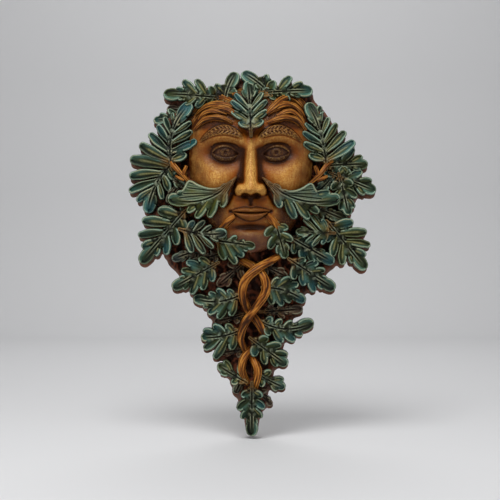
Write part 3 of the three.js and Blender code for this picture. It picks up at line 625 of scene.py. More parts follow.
class Leaf:
    """One leaf: its midrib, and a tapering axis with a rounded end for each lobe."""

    def __init__(self, name, row, draws):
        base_x, base_z, tip_x, tip_z, bend, self.layer, left, right = row
        self.base, self.tip = np.array((base_x, base_z), float), np.array((tip_x, tip_z), float)
        chord = self.tip - self.base
        self.length = float(np.hypot(*chord))
        self.middle = (self.base + self.tip) / 2 + 2 * bend * np.array((-chord[1], chord[0]))
        self.deep = name in DEEPLY_CUT
        self.lobes = []
        for side, reaches in ((1, left), (-1, right)):
            for i, reach in enumerate(reaches):
                if not reach:
                    continue
                at, grows = self.midrib(mix(LOBES_FROM, LOBES_TO, (i + LOBE_SETBACK) / len(reaches)))
                lean = mix(BASE_LOBE_ANGLE, LAST_LOBE_ANGLE, i / max(1, len(reaches) - 1))
                forwards = unit(mix(grows, unit(chord), STRAIGHTENING))
                heads = turned(forwards, side * lean)
                spacing = self.length * (LOBES_TO - LOBES_FROM) / len(reaches) * math.sin(math.radians(lean))
                self.lobes.append(
                    dict(side=side, at=at, grows=grows, reach=reach, heads=heads, spacing=spacing)
                )
        rows = max(len(left), len(right))
        at, grows = self.midrib(mix(LOBES_FROM, LOBES_TO, (rows - 1 + LOBE_SETBACK) / rows) + END_AFTER)
        rest = self.tip - at
        reach = float(np.hypot(*rest))
        self.lobes.append(
            dict(side=0, at=at, grows=grows, reach=reach, heads=unit(rest), spacing=reach / 2)
        )
        self.find_widths()
        self.wing, self.veins = self.wing_outline(WINGS[name]) if name in WINGS else (None, [])
        self.runs = [self.midrib_runs()] + [self.lobe_runs(lobe) for lobe in self.lobes]
        self.reaches = np.array([self.length] + [lobe["reach"] for lobe in self.lobes])
        self.lifts = np.concatenate(([0], draws.uniform(-1, 1, len(self.lobes))))
        self.tones = np.concatenate(([0.5], draws.uniform(0, 1, len(self.lobes))))
        self.tints = np.concatenate(([0.3], draws.uniform(0, 1, len(self.lobes))))
        self.cools = np.mod(5 * self.tints, 1)
        self.leans = np.concatenate(([1], draws.choice((-1, 1), len(self.lobes))))
        self.brown = BROWN.get(name, 0.0)
        self.olive = OLIVE.get(name, draws.uniform(0, OLIVE_DRAWN_TO))
        reach = max(self.reaches[1:]) + ROUND_LEAF
        spots = np.array([self.base, self.middle, self.tip] + [lobe["at"] for lobe in self.lobes])
        if self.wing is not None:
            spots = np.vstack((spots, self.wing))
        self.low, self.high = spots.min(0) - reach, spots.max(0) + reach

    def midrib(self, share):
        """A point of the midrib, and the way it grows there."""
        at = bezier(self.base, self.middle, self.tip, share)
        grows = unit(mix(self.middle - self.base, self.tip - self.middle, share))
        return at, grows

    def find_widths(self):
        """A lobe fills half the gap to the lobes beside it, and the end lobe has one on each side."""
        for side in (1, -1):
            row = [lobe for lobe in self.lobes if lobe["side"] in (side, 0)]
            for i, lobe in enumerate(row):
                middle = lobe["at"] + SHOULDER * lobe["reach"] * lobe["heads"]
                half = min(LOBE_WIDTH, self.length * LOBE_IN_LEAF, lobe["reach"] * LOBE_IN_REACH) / 2
                for near in row[max(0, i - 1) : i] + row[i + 1 : i + 2]:
                    away = middle - near["at"]
                    cross = abs(away[0] * near["heads"][1] - away[1] * near["heads"][0])
                    half = min(half, cross / 2 - SINUS_WIDTH / 2)
                fullest = min(lobe["reach"] * (DEEP_LOBE if self.deep else FULL_LOBE), LOBE_WIDTH / 3)
                if lobe["side"] == 0:
                    fullest = min(lobe["reach"] * FULL_END, LOBE_WIDTH / 2)
                lobe["half"] = min(lobe.get("half", math.inf), max(fullest, half))

    def midrib_runs(self):
        """The midrib with its radii: on a winged leaf it starts thin, and on others it has a stalk."""
        shares = np.linspace(0, RIB_TO, 11)
        points = np.array([self.midrib(s)[0] for s in shares])
        if self.wing is not None:
            radii = (WING_ROOT_RADIUS, RIB_RADIUS, RIB_TIP_RADIUS)
            return runs_through(points, np.interp(shares, (0, 0.2, RIB_TO), radii), 0, 0)
        points = np.vstack((self.base - self.midrib(0)[1] * STALK_LENGTH, points))
        radii = np.concatenate(([STALK_RADIUS], np.linspace(RIB_RADIUS, RIB_TIP_RADIUS, 11)))
        return runs_through(points, radii, 0, 0)

    def lobe_runs(self, lobe):
        """A lobe's axis, which curls towards the tip, with its radii; near the midrib they make the blade."""
        half, reach = lobe["half"] - WEB_SWELL, lobe["reach"]
        point = POINTED if lobe["side"] else BLUNT
        start = lobe["at"] - lobe["grows"] * min(ROOT_BACK, ROOT_IN_REACH * reach) * (lobe["side"] != 0)
        turn = lobe["at"] + turned(lobe["heads"], lobe["side"] * LOBE_CURL) * TURN_IN_REACH * reach
        end = lobe["at"] + lobe["heads"] * (reach - half * point)
        shares = np.linspace(0, 1, 10)
        neck, taper = (DEEP_NECK, DEEP_TAPER) if self.deep else (NECK, BLADE_TAPER)
        lobe_radii = mix(neck * half, half, smoothstep(0.05, 0.7, shares))
        lobe_radii = lobe_radii * mix(1, point, smoothstep(0.75, 1, shares))
        blade_half = lobe["spacing"] * DEEP_BLADE if self.deep else lobe["spacing"] / 2 + BLADE_OVERLAP
        blade_radii = blade_half - shares * reach * taper
        return runs_through(bezier(start, turn, end, shares), np.maximum(lobe_radii, blade_radii), 0, 1)

    def wing_outline(self, edge):
        """The ring round the smooth wing between edge and midrib, and the veins that fan out over it."""
        edge = np.array(edge, float)
        roots = [self.midrib(WING_ROOTS_TO * i / len(edge))[0] for i in range(len(edge))]
        veins = [np.array((root, mix(root, point, WING_VEIN_TO))) for root, point in zip(roots, edge)]
        lobed_side = 1 if sum(lobe["side"] * lobe["reach"] for lobe in self.lobes) > 0 else -1
        below = []
        for share, spread in ROOT_SPREAD:
            at, grows = self.midrib(WING_TO * share)
            below.append(at + turned(grows, lobed_side * 90) * spread)
        ring = np.vstack((self.base, self.base, edge, below))
        for _ in range(2):
            after = np.roll(ring, -1, axis=0)
            ring = np.stack((mix(ring, after, 0.25), mix(ring, after, 0.75)), axis=1).reshape(-1, 2)
        return ring, [runs_through(vein, np.zeros(2), 0, 1) for vein in veins]

    def outside(self, points, softness):
        """Distance outside the leaf's outline, less than nought within it."""
        away, radius, _, _ = along_runs(points, self.runs)
        return self.outline_from(points, away - radius, softness)

    def outline_from(self, points, gaps, softness):
        """Distance outside the outline, from the gaps to each axis, with webs where lobes meet."""
        least = gaps.min(1)
        outline = least - softness * np.log(np.exp(-(gaps - least[:, None]) / softness).sum(1))
        if self.wing is not None:
            wing = polygon_distance(points, self.wing)
            outline = np.minimum(outline, wing) - WING_BLEND * np.exp(-np.abs(outline - wing))
        return outline

    def lie(self, points, rib_away):
        """Height over the wall of the smooth, arched shape that the leaf's relief is carved in."""
        to_tip = np.clip(self.towards_tip(points), 0, 1)
        ground = mix(*(carrier_height(p[None])[0] for p in (self.base, self.tip)), to_tip)
        span = rib_away / (self.length / 2)
        height = ground + (self.layer - 1) * LAYER_STEP * mix(1, LAYER_AT_TIP, to_tip)
        height = height + LEAF_ARCH * 4 * to_tip * (1 - to_tip) - LOBE_DROOP * span**2
        floor = face_floor(points) + LEAF_OVER_FACE
        return floor + np.logaddexp(0, height - floor)

    def towards_tip(self, points):
        """How far each point lies from base to tip, as a share of the leaf's length."""
        return ((points - self.base) * (self.tip - self.base)).sum(1) / self.length**2

    def surface(self, points):
        """Height over the wall and the paint's guides at points on the leaf."""
        away, radius, share, left = along_runs(points, self.runs)
        gaps = away - radius
        depth = -self.outline_from(points, gaps, LOBE_WEB)
        lobe_gaps = np.sort(gaps[:, 1:], axis=1)
        between = (lobe_gaps[:, 1] - lobe_gaps[:, 0]) / 2
        weights = np.exp(-(gaps - gaps.min(1)[:, None]) / 0.8)
        weights = weights / weights.sum(1)[:, None]
        near = gaps[:, 1:].argmin(1) + 1
        rows = np.arange(len(points))
        along = np.clip(share[rows, near], 0, 1)
        off_axis = np.clip(away[rows, near] / np.maximum(radius[rows, near], 0.5), 0, 1)
        rib_away = away[:, 0]
        along_leaf = self.towards_tip(points)
        to_tip = np.clip(along_leaf, 0, 1)
        turn = 2 * left[rows, near] - 1
        across, down = turn * away[rows, near], near * STREAK_STRETCH + along * self.reaches[near]
        higher_side = self.leans[near] * turn * off_axis
        # Painted highlight and painted shade: one side of each lobe counts as lit, so its pale rim is
        # stronger and its dark hollow weaker, and the other side the reverse.
        lit = smoothstep(-0.5, 0.6, higher_side)
        rim = np.exp(-(((depth - mix(0.42, 0.7, lit)) / mix(0.24, 0.38, lit)) ** 2))
        rim = rim * smoothstep(0.6, 1.3, rib_away) * mix(0.5, 1, lit)
        flank = np.exp(-(((rib_away - 1.3) / 0.4) ** 2)) * smoothstep(0.92, 0.6, to_tip)
        crest = np.maximum(rim, 0.65 * flank)
        groove = smoothstep(0.8, 0.25, rib_away) * smoothstep(0.95, 0.7, to_tip)
        seam = smoothstep(0.5, 0.1, between) * smoothstep(0.8, 1.4, rib_away)
        furrow = np.exp(-(((off_axis - 0.5) / 0.24) ** 2))
        hollow = smoothstep(0.7, 1.3, depth) * (1 - crest) * mix(1, 0.6, lit)
        vein = np.exp(-((off_axis / 0.2) ** 2)) * smoothstep(0.95, 0.7, along) * smoothstep(1.2, 2, depth)
        vein = vein * smoothstep(1.2, 2.4, rib_away) * (self.tones[near] > 0.35)
        # A painted highlight: a paler band along the higher, leaning side of each lobe.
        highlight_band = smoothstep(0.2, 0.7, higher_side) * smoothstep(0.1, 0.3, along) * smoothstep(1, 2.4, rib_away)
        if self.wing is not None:
            beyond_wing = polygon_distance(points, self.wing)
            on_wing = smoothstep(0.4, -0.4, beyond_wing - gaps.min(1))
            on_wing = np.maximum(on_wing, smoothstep(-0.3, -1.3, beyond_wing))
            vein_away, _, vein_share, vein_left = along_runs(points, self.veins)
            fanned = vein_away.argmin(1)
            wing_away = vein_away[rows, fanned]
            across = np.where(on_wing > 0.5, (2 * vein_left[rows, fanned] - 1) * wing_away, across)
            down_wing = fanned * STREAK_STRETCH + vein_share[rows, fanned] * WING_STREAK
            down = np.where(on_wing > 0.5, down_wing, down)
            rim = np.exp(-(((depth - 0.8) / 0.6) ** 2))
            ribs = np.exp(-(((wing_away - 1.0) / 0.5) ** 2)) * smoothstep(1.5, 3, depth)
            crest = mix(crest, np.maximum(rim, np.maximum(0.25 * ribs, 0.65 * flank)), on_wing)
            vein, highlight_band, higher_side = (mix(guide, 0, on_wing) for guide in (vein, highlight_band, higher_side))
            seam = mix(seam, smoothstep(0.7, 0.2, wing_away) * smoothstep(1, 3, depth), on_wing)
            furrow = mix(furrow, smoothstep(1.2, 3, wing_away) * 0.4, on_wing)
            along = mix(along, smoothstep(12, 2, depth), on_wing)
            root_x, root_z = (points - self.base).T
            root_away = np.hypot(root_x, root_z)
            at_root = smoothstep(FAN_REACH, FAN_REACH / 2, root_away)
            rooty = smoothstep(1.3 * FAN_REACH, 0.3 * FAN_REACH, root_away)
            fan = 0.5 + 0.5 * np.cos(np.arctan2(root_z, np.abs(root_x)) * 360 / FAN_RIB)
            fan = mix(0.5, fan, smoothstep(2, 6, root_away))
            crest = mix(crest, np.maximum(0.45 * rim, 0.3 * fan**2), at_root)
            groove, seam = mix(groove, (1 - fan) ** 2, at_root), mix(seam, 0, at_root)
            hollow, furrow = mix(hollow, 0.3, at_root), mix(furrow, 0, at_root)
        height = self.lie(points, rib_away)
        lifts = (weights * self.lifts).sum(1) * (1 if self.wing is None else 1 - on_wing)
        height = height + lifts * LOBE_LIFT * smoothstep(0.2, 1, along)
        height = height + LOBE_LEAN * higher_side * smoothstep(0.1, 0.4, along)
        height = height + CREST_RISE * crest - HOLLOW_SINK * hollow * mix(0.4, 1, furrow)
        height = height - groove - SEAM_SINK * seam + VEIN_RISE * vein
        height = np.maximum(height, face_floor(points) + HOLLOW_OVER_FACE)
        height = height - EDGE_DROP * (1 - smoothstep(0, EDGE_ROUND, depth))
        plain = (1 - self.brown) * (1 - self.olive)
        stalk = smoothstep(0.12, -0.02, along_leaf) * smoothstep(12, 4, rib_away)
        paint = {
            "crest": crest * mix(0.5, 1, (weights * self.tints).sum(1)) * (1 - 0.7 * self.brown),
            "highlight_band": highlight_band * (1 - self.brown),
            "hollow": hollow * mix(0.6, 1, furrow) * (1 - 0.8 * highlight_band),
            "groove": np.maximum(groove, 0.9 * seam),
            "vein": vein * (1 - 0.6 * self.brown),
            "tip": smoothstep(0.35, 1, along) * mix(0.15, 1, (weights * self.tints).sum(1)),
            "tone": (weights * self.tones).sum(1),
            "stalk": stalk if self.wing is None else rooty,
            "blade": smoothstep(5, 1.5, rib_away) * smoothstep(1, 0.7, to_tip),
            "olive": np.full(len(points), self.olive),
            "brown": np.full(len(points), self.brown) if self.wing is None else rooty,
            "cool": smoothstep(0.5, 0.9, (weights * self.cools).sum(1)) * smoothstep(0.2, 0.9, along) * plain,
            "across": across * MM,
            "down": down * MM,
        }
        return height, paint


def runs_through(points, radii, first, last):
    """Rows of short straight runs: both ends, both radii, and the share of the whole at both ends."""
    shares = np.linspace(first, last, len(points))
    return np.column_stack((points[:-1], points[1:], radii[:-1], radii[1:], shares[:-1], shares[1:]))


def along_runs(points, runs):
    """How far off each axis every point lies, the radius and share along there, and whether it lies left."""
    found = []
    for rows in runs:
        starts, along = rows[:, :2], rows[:, 2:4] - rows[:, :2]
        offset = points[:, None] - starts
        t = np.clip((offset * along).sum(2) / (along**2).sum(1), 0, 1)
        away = np.linalg.norm(offset - t[..., None] * along, axis=2)
        radius = mix(rows[:, 4], rows[:, 5], t)
        best = (np.arange(len(points)), (away - radius).argmin(1))
        share = mix(rows[:, 6], rows[:, 7], t)
        left = along[:, 0] * offset[..., 1] > along[:, 1] * offset[..., 0]
        found.append((away[best], radius[best], share[best], left[best]))
    return np.array(found).transpose(1, 2, 0)


def inside_rim(points, spots, rim):
    """Whether each point lies inside the rings that rim's edges make, by counting the edges to its right."""
    a, b = spots[rim[:, 0]], spots[rim[:, 1]]
    level = (a[:, 1] > points[:, 1, None]) != (b[:, 1] > points[:, 1, None])
    rise = np.where(a[:, 1] == b[:, 1], 1, b[:, 1] - a[:, 1])
    cross = a[:, 0] + (points[:, 1, None] - a[:, 1]) * (b[:, 0] - a[:, 0]) / rise
    return (level & (points[:, 0, None] < cross)).sum(1) % 2 == 1


def ring_edges(sizes):
    """Edges round closed loops of these sizes, numbered on from loop to loop."""
    starts = np.concatenate(([0], np.cumsum(sizes)))
    return np.array([(s + i, s + (i + 1) % size) for s, size in zip(starts, sizes) for i in range(size)])


def polygon_distance(points, ring):
    """Distance outside a polygon, less than nought within it."""
    along = np.roll(ring, -1, axis=0) - ring
    offset = points[:, None] - ring
    t = np.clip((offset * along).sum(2) / np.maximum((along**2).sum(1), 1e-9), 0, 1)
    away = np.linalg.norm(offset - t[..., None] * along, axis=2).min(1)
    return np.where(inside_rim(points, ring, ring_edges([len(ring)])), -away, away)


def grid_points(low, high, step):
    xs, zs = np.arange(low[0], high[0] + step, step), np.arange(low[1], high[1] + step, step)
    return xs, zs, np.stack(np.meshgrid(xs, zs, indexing="ij"), axis=-1).reshape(-1, 2)


class Field:
    """A distance kept on a grid and read between its points."""

    def __init__(self, outside, low, high, step):
        self.low, self.step = np.array(low, float), step
        self.xs, self.zs, points = grid_points(low, high, step)
        self.values = outside(points).reshape(len(self.xs), len(self.zs))

    def __call__(self, points):
        place = np.clip((points - self.low) / self.step, 0, np.array(self.values.shape) - 1.001)
        cell = place.astype(int)
        i, j = cell.T
        s, t = (place - cell).T
        near = mix(self.values[i, j], self.values[i + 1, j], s)
        far = mix(self.values[i, j + 1], self.values[i + 1, j + 1], s)
        return mix(near, far, t)

    def slope(self, points):
        """Unit direction in which the distance grows."""
        reach = self.step / 2
        across = self(points + (reach, 0)) - self(points - (reach, 0))
        up = self(points + (0, reach)) - self(points - (0, reach))
        return unit(np.stack((across, up), axis=1))

    def loops(self, least, spacing):
        """Closed loops of evenly spaced points where the distance is nought, each at least so long."""
        within = self.values < 0
        count = within[:-1, :-1].astype(int) + within[1:, :-1] + within[:-1, 1:] + within[1:, 1:]
        links = {}
        for i, j in np.argwhere((count > 0) & (count < 4)).tolist():
            corners = ((i, j), (i + 1, j), (i + 1, j + 1), (i, j + 1))
            sides = [tuple(sorted(pair)) for pair in zip(corners, corners[1:] + corners[:1])]
            cut = [side for side in sides if within[side[0]] != within[side[1]]]
            if len(cut) == 4 and within[i, j]:
                cut = cut[-1:] + cut[:-1]
            for a, b in zip(cut[::2], cut[1::2]):
                links.setdefault(a, []).append(b)
                links.setdefault(b, []).append(a)
        found = []
        while links:
            here = next(iter(links))
            ring = []
            while here is not None:
                onward = links.pop(here)
                ring.append(here)
                here = next((side for side in onward if side in links), None)
            ring = self.evened(np.array([self.crossing(a, b) for a, b in ring]), least, spacing)
            if ring is not None:
                found.append(ring)
        return found

    def crossing(self, a, b):
        share = self.values[a] / (self.values[a] - self.values[b])
        return mix(np.array((self.xs[a[0]], self.zs[a[1]])), np.array((self.xs[b[0]], self.zs[b[1]])), share)

    def evened(self, ring, least, spacing):
        closed = np.vstack((ring, ring[:1]))
        steps = np.concatenate(([0], np.cumsum(np.linalg.norm(np.diff(closed, axis=0), axis=1))))
        if steps[-1] < least:
            return None
        at = np.linspace(0, steps[-1], round(steps[-1] / spacing), endpoint=False)
        points = np.stack((np.interp(at, steps, closed[:, 0]), np.interp(at, steps, closed[:, 1])), axis=1)
        for _ in range(2):
            points = points - self.slope(points) * self(points)[:, None]
        return points

    def inner_points(self, loops, insets, spacing):
        """Rows of points set in from the loops, then an even field of points inside them."""
        edge = np.vstack(loops)
        inwards = -self.slope(edge)
        rows = [edge + inwards * inset for inset in insets]
        kept = [row[self(row) < -0.8 * inset] for row, inset in zip(rows, insets)]
        _, zs, field = grid_points(edge.min(0), edge.max(0), spacing)
        field[:, 1] += (np.arange(len(field)) // len(zs) % 2) * spacing / 2
        return np.vstack(kept + [field[self(field) < -(insets[-1] + 0.6 * spacing)]])


def tile_front(points, sizes, outside):
    """Anticlockwise triangles inside the loops that the first points go round, and the points they use."""
    edges = ring_edges(sizes)
    made, _, faces, _, _, _ = delaunay_2d_cdt([Vector(p) for p in points], edges.tolist(), [], 0, 1e-5)
    made = np.array([tuple(p) for p in made])
    faces = np.array(faces)
    middles = made[faces].mean(1)
    depth = outside(middles)
    kept = depth < 0
    close = np.abs(depth) < 1
    kept[close] = inside_rim(middles[close], points, edges)
    return made, turned_to(faces[kept], made, 1)


def tile_back(spots, rim):
    """Clockwise triangles inside the rings of the rim, numbered as the spots are."""
    _, _, faces, origins, _, _ = delaunay_2d_cdt([Vector(p) for p in spots], rim.tolist(), [], 0, 1e-6)
    faces = np.array([[origins[i][0] for i in face] for face in faces])
    return turned_to(faces[inside_rim(spots[faces].mean(1), spots, rim)], spots, -1)


def turned_to(faces, points, way):
    """The faces, all anticlockwise as the viewer sees them for 1, or clockwise for -1."""
    a, b, c = points[faces[:, 0]], points[faces[:, 1]], points[faces[:, 2]]
    area = (b[:, 0] - a[:, 0]) * (c[:, 1] - a[:, 1]) - (b[:, 1] - a[:, 1]) * (c[:, 0] - a[:, 0])
    return np.where((area * way < 0)[:, None], faces[:, ::-1], faces)


def border(faces):
    """The points round the edge of a sheet of faces, and its edges, numbered by those points' places."""
    seen = {(a, b) for face in faces.tolist() for a, b in zip(face, face[1:] + face[:1])}
    edges = np.array([edge for edge in sorted(seen) if edge[::-1] not in seen])
    corners, rim = np.unique(edges, return_inverse=True)
    return corners, rim.reshape(edges.shape)


class Solid:
    """Points, faces and paint guides of a piece, gathered ring by ring."""

    def __init__(self):
        self.points, self.faces, self.paint, self.count = [], [], {}, 0

    def add(self, spots, heights, paint):
        """Adds points of the sheet at heights over the wall, and returns their numbers."""
        self.points.append(np.column_stack((spots, np.broadcast_to(heights, len(spots)))))
        for guide, values in paint.items():
            self.paint.setdefault(guide, []).append(np.broadcast_to(values, len(spots)))
        self.count += len(spots)
        return np.arange(self.count - len(spots), self.count)

    def bridge(self, rim, near, far):
        """Wall faces between two rings of numbered points, along the rim's edges."""
        a, b = rim.T
        self.faces.append(np.column_stack((near[a], far[a], far[b])))
        self.faces.append(np.column_stack((near[a], far[b], near[b])))

    def piece(self, name, material):
        x, z, height = np.vstack(self.points).T
        places = np.stack((x * SPREAD, -height * DEPTH, (z - ORIGIN_ON_SHEET) * RISE), axis=1) * MM
        mesh = bpy.data.meshes.new(name)
        mesh.from_pydata(places.tolist(), [], np.vstack(self.faces).tolist())
        for guide, values in self.paint.items():
            layer = mesh.attributes.new(guide, "FLOAT", "POINT")
            layer.data.foreach_set("value", np.concatenate(values).astype(np.float32))
        mesh.materials.append(material)
        mesh.shade_smooth()
        return finished(name, mesh)


def finished(name, mesh):
    """A piece's object at the origin, riding on the casting's body in place of its node."""
    piece = bpy.data.objects.new(name, mesh)
    bpy.context.scene.collection.objects.link(piece)
    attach(piece, "root")
    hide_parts(NODE)
    return piece


def relief_patch(solid, field, surface, step, insets, wall, back):
    """Adds a carved front, and walls that step out from its edge and back to a height over the wall.

    wall holds how far out each step stands and how far it drops. Returns the last ring's spots, rim and
    numbers.
    """
    loops = field.loops(LEAST_LOOP * step, step)
    inner = field.inner_points(loops, insets, step)
    points, faces = tile_front(np.vstack(loops + [inner]), [len(ring) for ring in loops], field)
    heights, paint = surface(points)
    numbers = solid.add(points, heights, {"wall": 0, "side": 0} | paint)
    solid.faces.append(numbers[faces])
    corners, rim = border(faces)
    spots, near = points[corners], numbers[corners]
    outwards = field.slope(spots)
    room = np.full(len(spots), max(out for out, _ in wall), float)
    for reach in WALL_REACHES:
        blocked = field(spots + outwards * reach) < WALL_OPEN * reach
        room = np.where(blocked, np.minimum(room, reach * WALL_KEEPS), room)
    base = back(spots)
    for out, drop in wall:
        out_spots = spots + outwards * np.minimum(out, room)[:, None]
        share = float(smoothstep(0, PAINT_DOWN_WALL, drop))
        faded = {guide: values[corners] * (1 - share * (guide in FADING)) for guide, values in paint.items()}
        faded |= {"wall": np.maximum(share, faded.get("wall", 0)), "side": drop > WALL_EDGE}
        far = solid.add(out_spots, np.maximum(heights[corners] - drop, base), faded)
        solid.bridge(rim, near, far)
        near = far
    return spots, rim, near


def leaf_patch(solid, leaf, step):
    """Adds a leaf whose walls stand in the ground, closed at the back."""
    field = Field(lambda points: leaf.outside(points, LOBE_WEB), leaf.low, leaf.high, FINE_GRID)

    def back(spots):
        return ground_height(spots) - LEAF_IN_GROUND

    spots, rim, last = relief_patch(solid, field, leaf.surface, step, LEAF_INSETS, LEAF_WALL, back)
    solid.faces.append(last[tile_back(spots, rim)])


def ground_height(points):
    """Height of the gnarled ground between and behind the leaves."""
    ground = backing_height(points[:, 0], points[:, 1]) - GROUND_DROP
    return np.maximum(ground + GROUND_BARK * gnarl(points), GROUND_LEAST)


def bed_height(leaves, points):
    """Height of the casting's mass under the leaves, which falls steeply away beyond their outlines."""
    bed = np.zeros(len(points))
    for leaf in leaves:
        near = ((points > leaf.low - NEAR_LEAF) & (points < leaf.high + NEAR_LEAF)).all(1)
        spots = points[near]
        rib_away = along_runs(spots, leaf.runs)[0][:, 0]
        beyond = np.maximum(0, leaf.outside(spots, UNDER_LEAF_WEB))
        bed[near] = np.maximum(bed[near], leaf.lie(spots, rib_away) - BED_UNDER_LEAF - BED_SLOPE * beyond)
    return bed


def gnarl(points):
    """Ridges as on an old root, from -1 in the clefts to 1 along the ridges."""
    places = [(x / BARK_WIDTH, z / BARK_LENGTH, 1.5) for x, z in points]
    return np.array([1 - 2.5 * abs(noise.fractal(place, 0.9, 2.1, 3)) for place in places])


def ground_field(leaves):
    """Distance outside the casting: a web round every leaf, joined to the backing."""
    right = [(half, z) for z, half in BACKING_HALF_WIDTHS]
    ring = np.array(right + [(-half, z) for half, z in right[::-1]])
    low = np.min([leaf.low for leaf in leaves], axis=0) - ROUND_LEAVES
    high = np.max([leaf.high for leaf in leaves], axis=0) + ROUND_LEAVES

    def outside(points):
        total = np.exp(-(polygon_distance(points, ring) + 1) / GROUND_WEB)
        for leaf in leaves:
            near = ((points > leaf.low - NEAR_LEAF) & (points < leaf.high + NEAR_LEAF)).all(1)
            sag = GROUND_SAG * smoothstep(-SHEET_HALF_HEIGHT, -SHEET_HALF_HEIGHT * 0.8, points[near, 1])
            sagged = points[near] + np.stack((0 * sag, sag), axis=1)
            total[near] += np.exp(-(leaf.outside(sagged, UNDER_LEAF_WEB) - GROUND_PROUD) / GROUND_WEB)
        return -GROUND_WEB * np.log(total)

    return Field(outside, low, high, COARSE_GRID)


def keyhole_ring(entry, slot):
    """The keyhole's outline: a round entry and a slot that rises from it to a round end."""
    join = math.asin(slot / entry)
    lower = np.linspace(math.pi / 2 + join, 2.5 * math.pi - join, 30)
    upper = np.linspace(0, math.pi, 14)
    entry_ring = np.stack((np.cos(lower), np.sin(lower)), axis=1) * entry / 2
    end_ring = np.stack((np.cos(upper), np.sin(upper)), axis=1) * slot / 2 + (0, KEYHOLE_RISE)
    return np.vstack((entry_ring, end_ring)) + (0, ORIGIN_ON_SHEET + KEYHOLE_ABOVE_ORIGIN)


def ground_piece(solid, leaves, step):
    """The casting behind the leaves, with its flat wall face and the keyhole in it."""
    field = ground_field(leaves)

    def surface(points):
        depth = -field(points)
        bark = gnarl(points)
        heights = np.maximum(ground_height(points), bed_height(leaves, points) + bark)
        rounded = heights - GROUND_ROUND * (1 - smoothstep(0, GROUND_ROUND, depth))
        edge = 0.85 * smoothstep(GROUND_ROUND, 0.8, depth)
        paint = {"ridge": smoothstep(0.2, 0.95, bark), "back": 0 * depth, "wall": edge}
        return np.maximum(rounded, GROUND_LEAST), paint

    def back(spots):
        return np.zeros(len(spots))

    spots, rim, last = relief_patch(solid, field, surface, step, GROUND_INSETS, GROUND_WALL, back)
    way_in = keyhole_ring(KEYHOLE_ENTRY, KEYHOLE_SLOT)
    wide = keyhole_ring(KEYHOLE_ENTRY + 1, KEYHOLE_ENTRY)
    raw = {"ridge": 0, "back": 1, "wall": 0, "side": 0}
    outer = solid.add(spots, 0, raw)
    mouth = solid.add(way_in, 0, raw)
    lip = solid.add(way_in, KEYHOLE_LIP, raw)
    under = solid.add(wide, KEYHOLE_LIP, raw)
    floor = solid.add(wide, KEYHOLE_DEPTH, raw)
    solid.bridge(rim, last, outer)
    way_rim, wide_rim = ring_edges([len(way_in)]), ring_edges([len(wide)])
    wall_face = tile_back(*joined(spots, rim, way_in, way_rim))
    solid.faces.append(np.concatenate((outer, mouth))[wall_face])
    solid.bridge(way_rim, mouth, lip)
    ledge = tile_back(*joined(wide, wide_rim, way_in, way_rim))[:, ::-1]
    solid.faces.append(np.concatenate((under, lip))[ledge])
    solid.bridge(wide_rim, under, floor)
    solid.faces.append(floor[tile_back(wide, wide_rim)])


def joined(spots, rim, more_spots, more_rim):
    """Two sets of rings as one."""
    return np.vstack((spots, more_spots)), np.vstack((rim, more_rim + len(spots)))


def face_surface(points):
    """Heights of the face over the wall, and where its wash, highlights, painted shade and darker paints lie.
    """
    x, z = points[:, 0] - HEAD_SIDE, points[:, 1] - CHIN_HEIGHT
    side = np.abs(x)
    height = face_height(x, z)
    around = {}
    for reach in (1.6, 4.5, 9):
        turns = np.arange(8) * math.pi / 4
        near = [face_height(x + reach * math.cos(a), z + reach * math.sin(a)) for a in turns]
        around[reach] = np.mean(near, axis=0)
    hollow = (around[1.6] - height) / 0.45 + (around[4.5] - height) / 2 + (around[9] - height - 0.6) / 5
    along, across = brow_place(side, z)
    under_locks = smoothstep(109, 114, z - 5 * np.cos(side / 14))
    # Painted shade: dark on the lower cheeks beside the mouth.
    beside_mouth = smoothstep(21, 29, side) * smoothstep(47, 38, z)
    _, opened = eye_relief(side, z, height)
    edge = np.clip(side / head_half_width(z), 0, 1)
    paint = {
        "wash": np.clip(hollow, 0, 1),
        # Paler on the raised places: rubbed-back paint, which also serves as painted highlight.
        "shine": np.clip(-hollow * 0.7, 0, 1),
        "edge": np.maximum(smoothstep(0.58, 0.98, edge), 0.6 * smoothstep(50, 36, z)),
        "under_locks_and_cheek_shade": np.maximum(under_locks, beside_mouth),
        "brow": on_brow(along, across, 1.1),
        "lips": smoothstep(1.1, 0.8, np.hypot(x / 19, (z - MOUTH_UP + 0.6) / 8)),
        "eye": np.clip(np.maximum(opened, 1.6 * bump(side - EYE_WIDTH, z - EYE_UP + 1, 15, 10)), 0, 1),
        "neck": smoothstep(20, 10, z),
        "skin": np.ones(len(x)),
    }
    return np.clip(height, FACE_BACK + LEAST_FACE, PLAQUE_DEPTH - FRONT_ROOM), paint


def face_piece(solid, step):
    """The face, with its walls set in the ground and a flat back in front of the keyhole."""
    low = np.array((HEAD_SIDE - HEAD_WIDTH / 2, CHIN_HEIGHT)) - ROUND_FACE
    high = np.array((HEAD_SIDE + HEAD_WIDTH / 2, CHIN_HEIGHT + HEAD_LENGTH)) + ROUND_FACE

    def outside(points):
        x, z = points[:, 0] - HEAD_SIDE, points[:, 1] - CHIN_HEIGHT
        return np.maximum(np.abs(x) - head_half_width(z) * 0.98, np.maximum(z - HEAD_LENGTH - 3, -4 - z))

    def back(spots):
        return np.full(len(spots), FACE_BACK)

    field = Field(outside, low, high, FINE_GRID)
    spots, rim, last = relief_patch(solid, field, face_surface, step, FACE_INSETS, FACE_WALL, back)
    solid.faces.append(last[tile_back(spots, rim)])


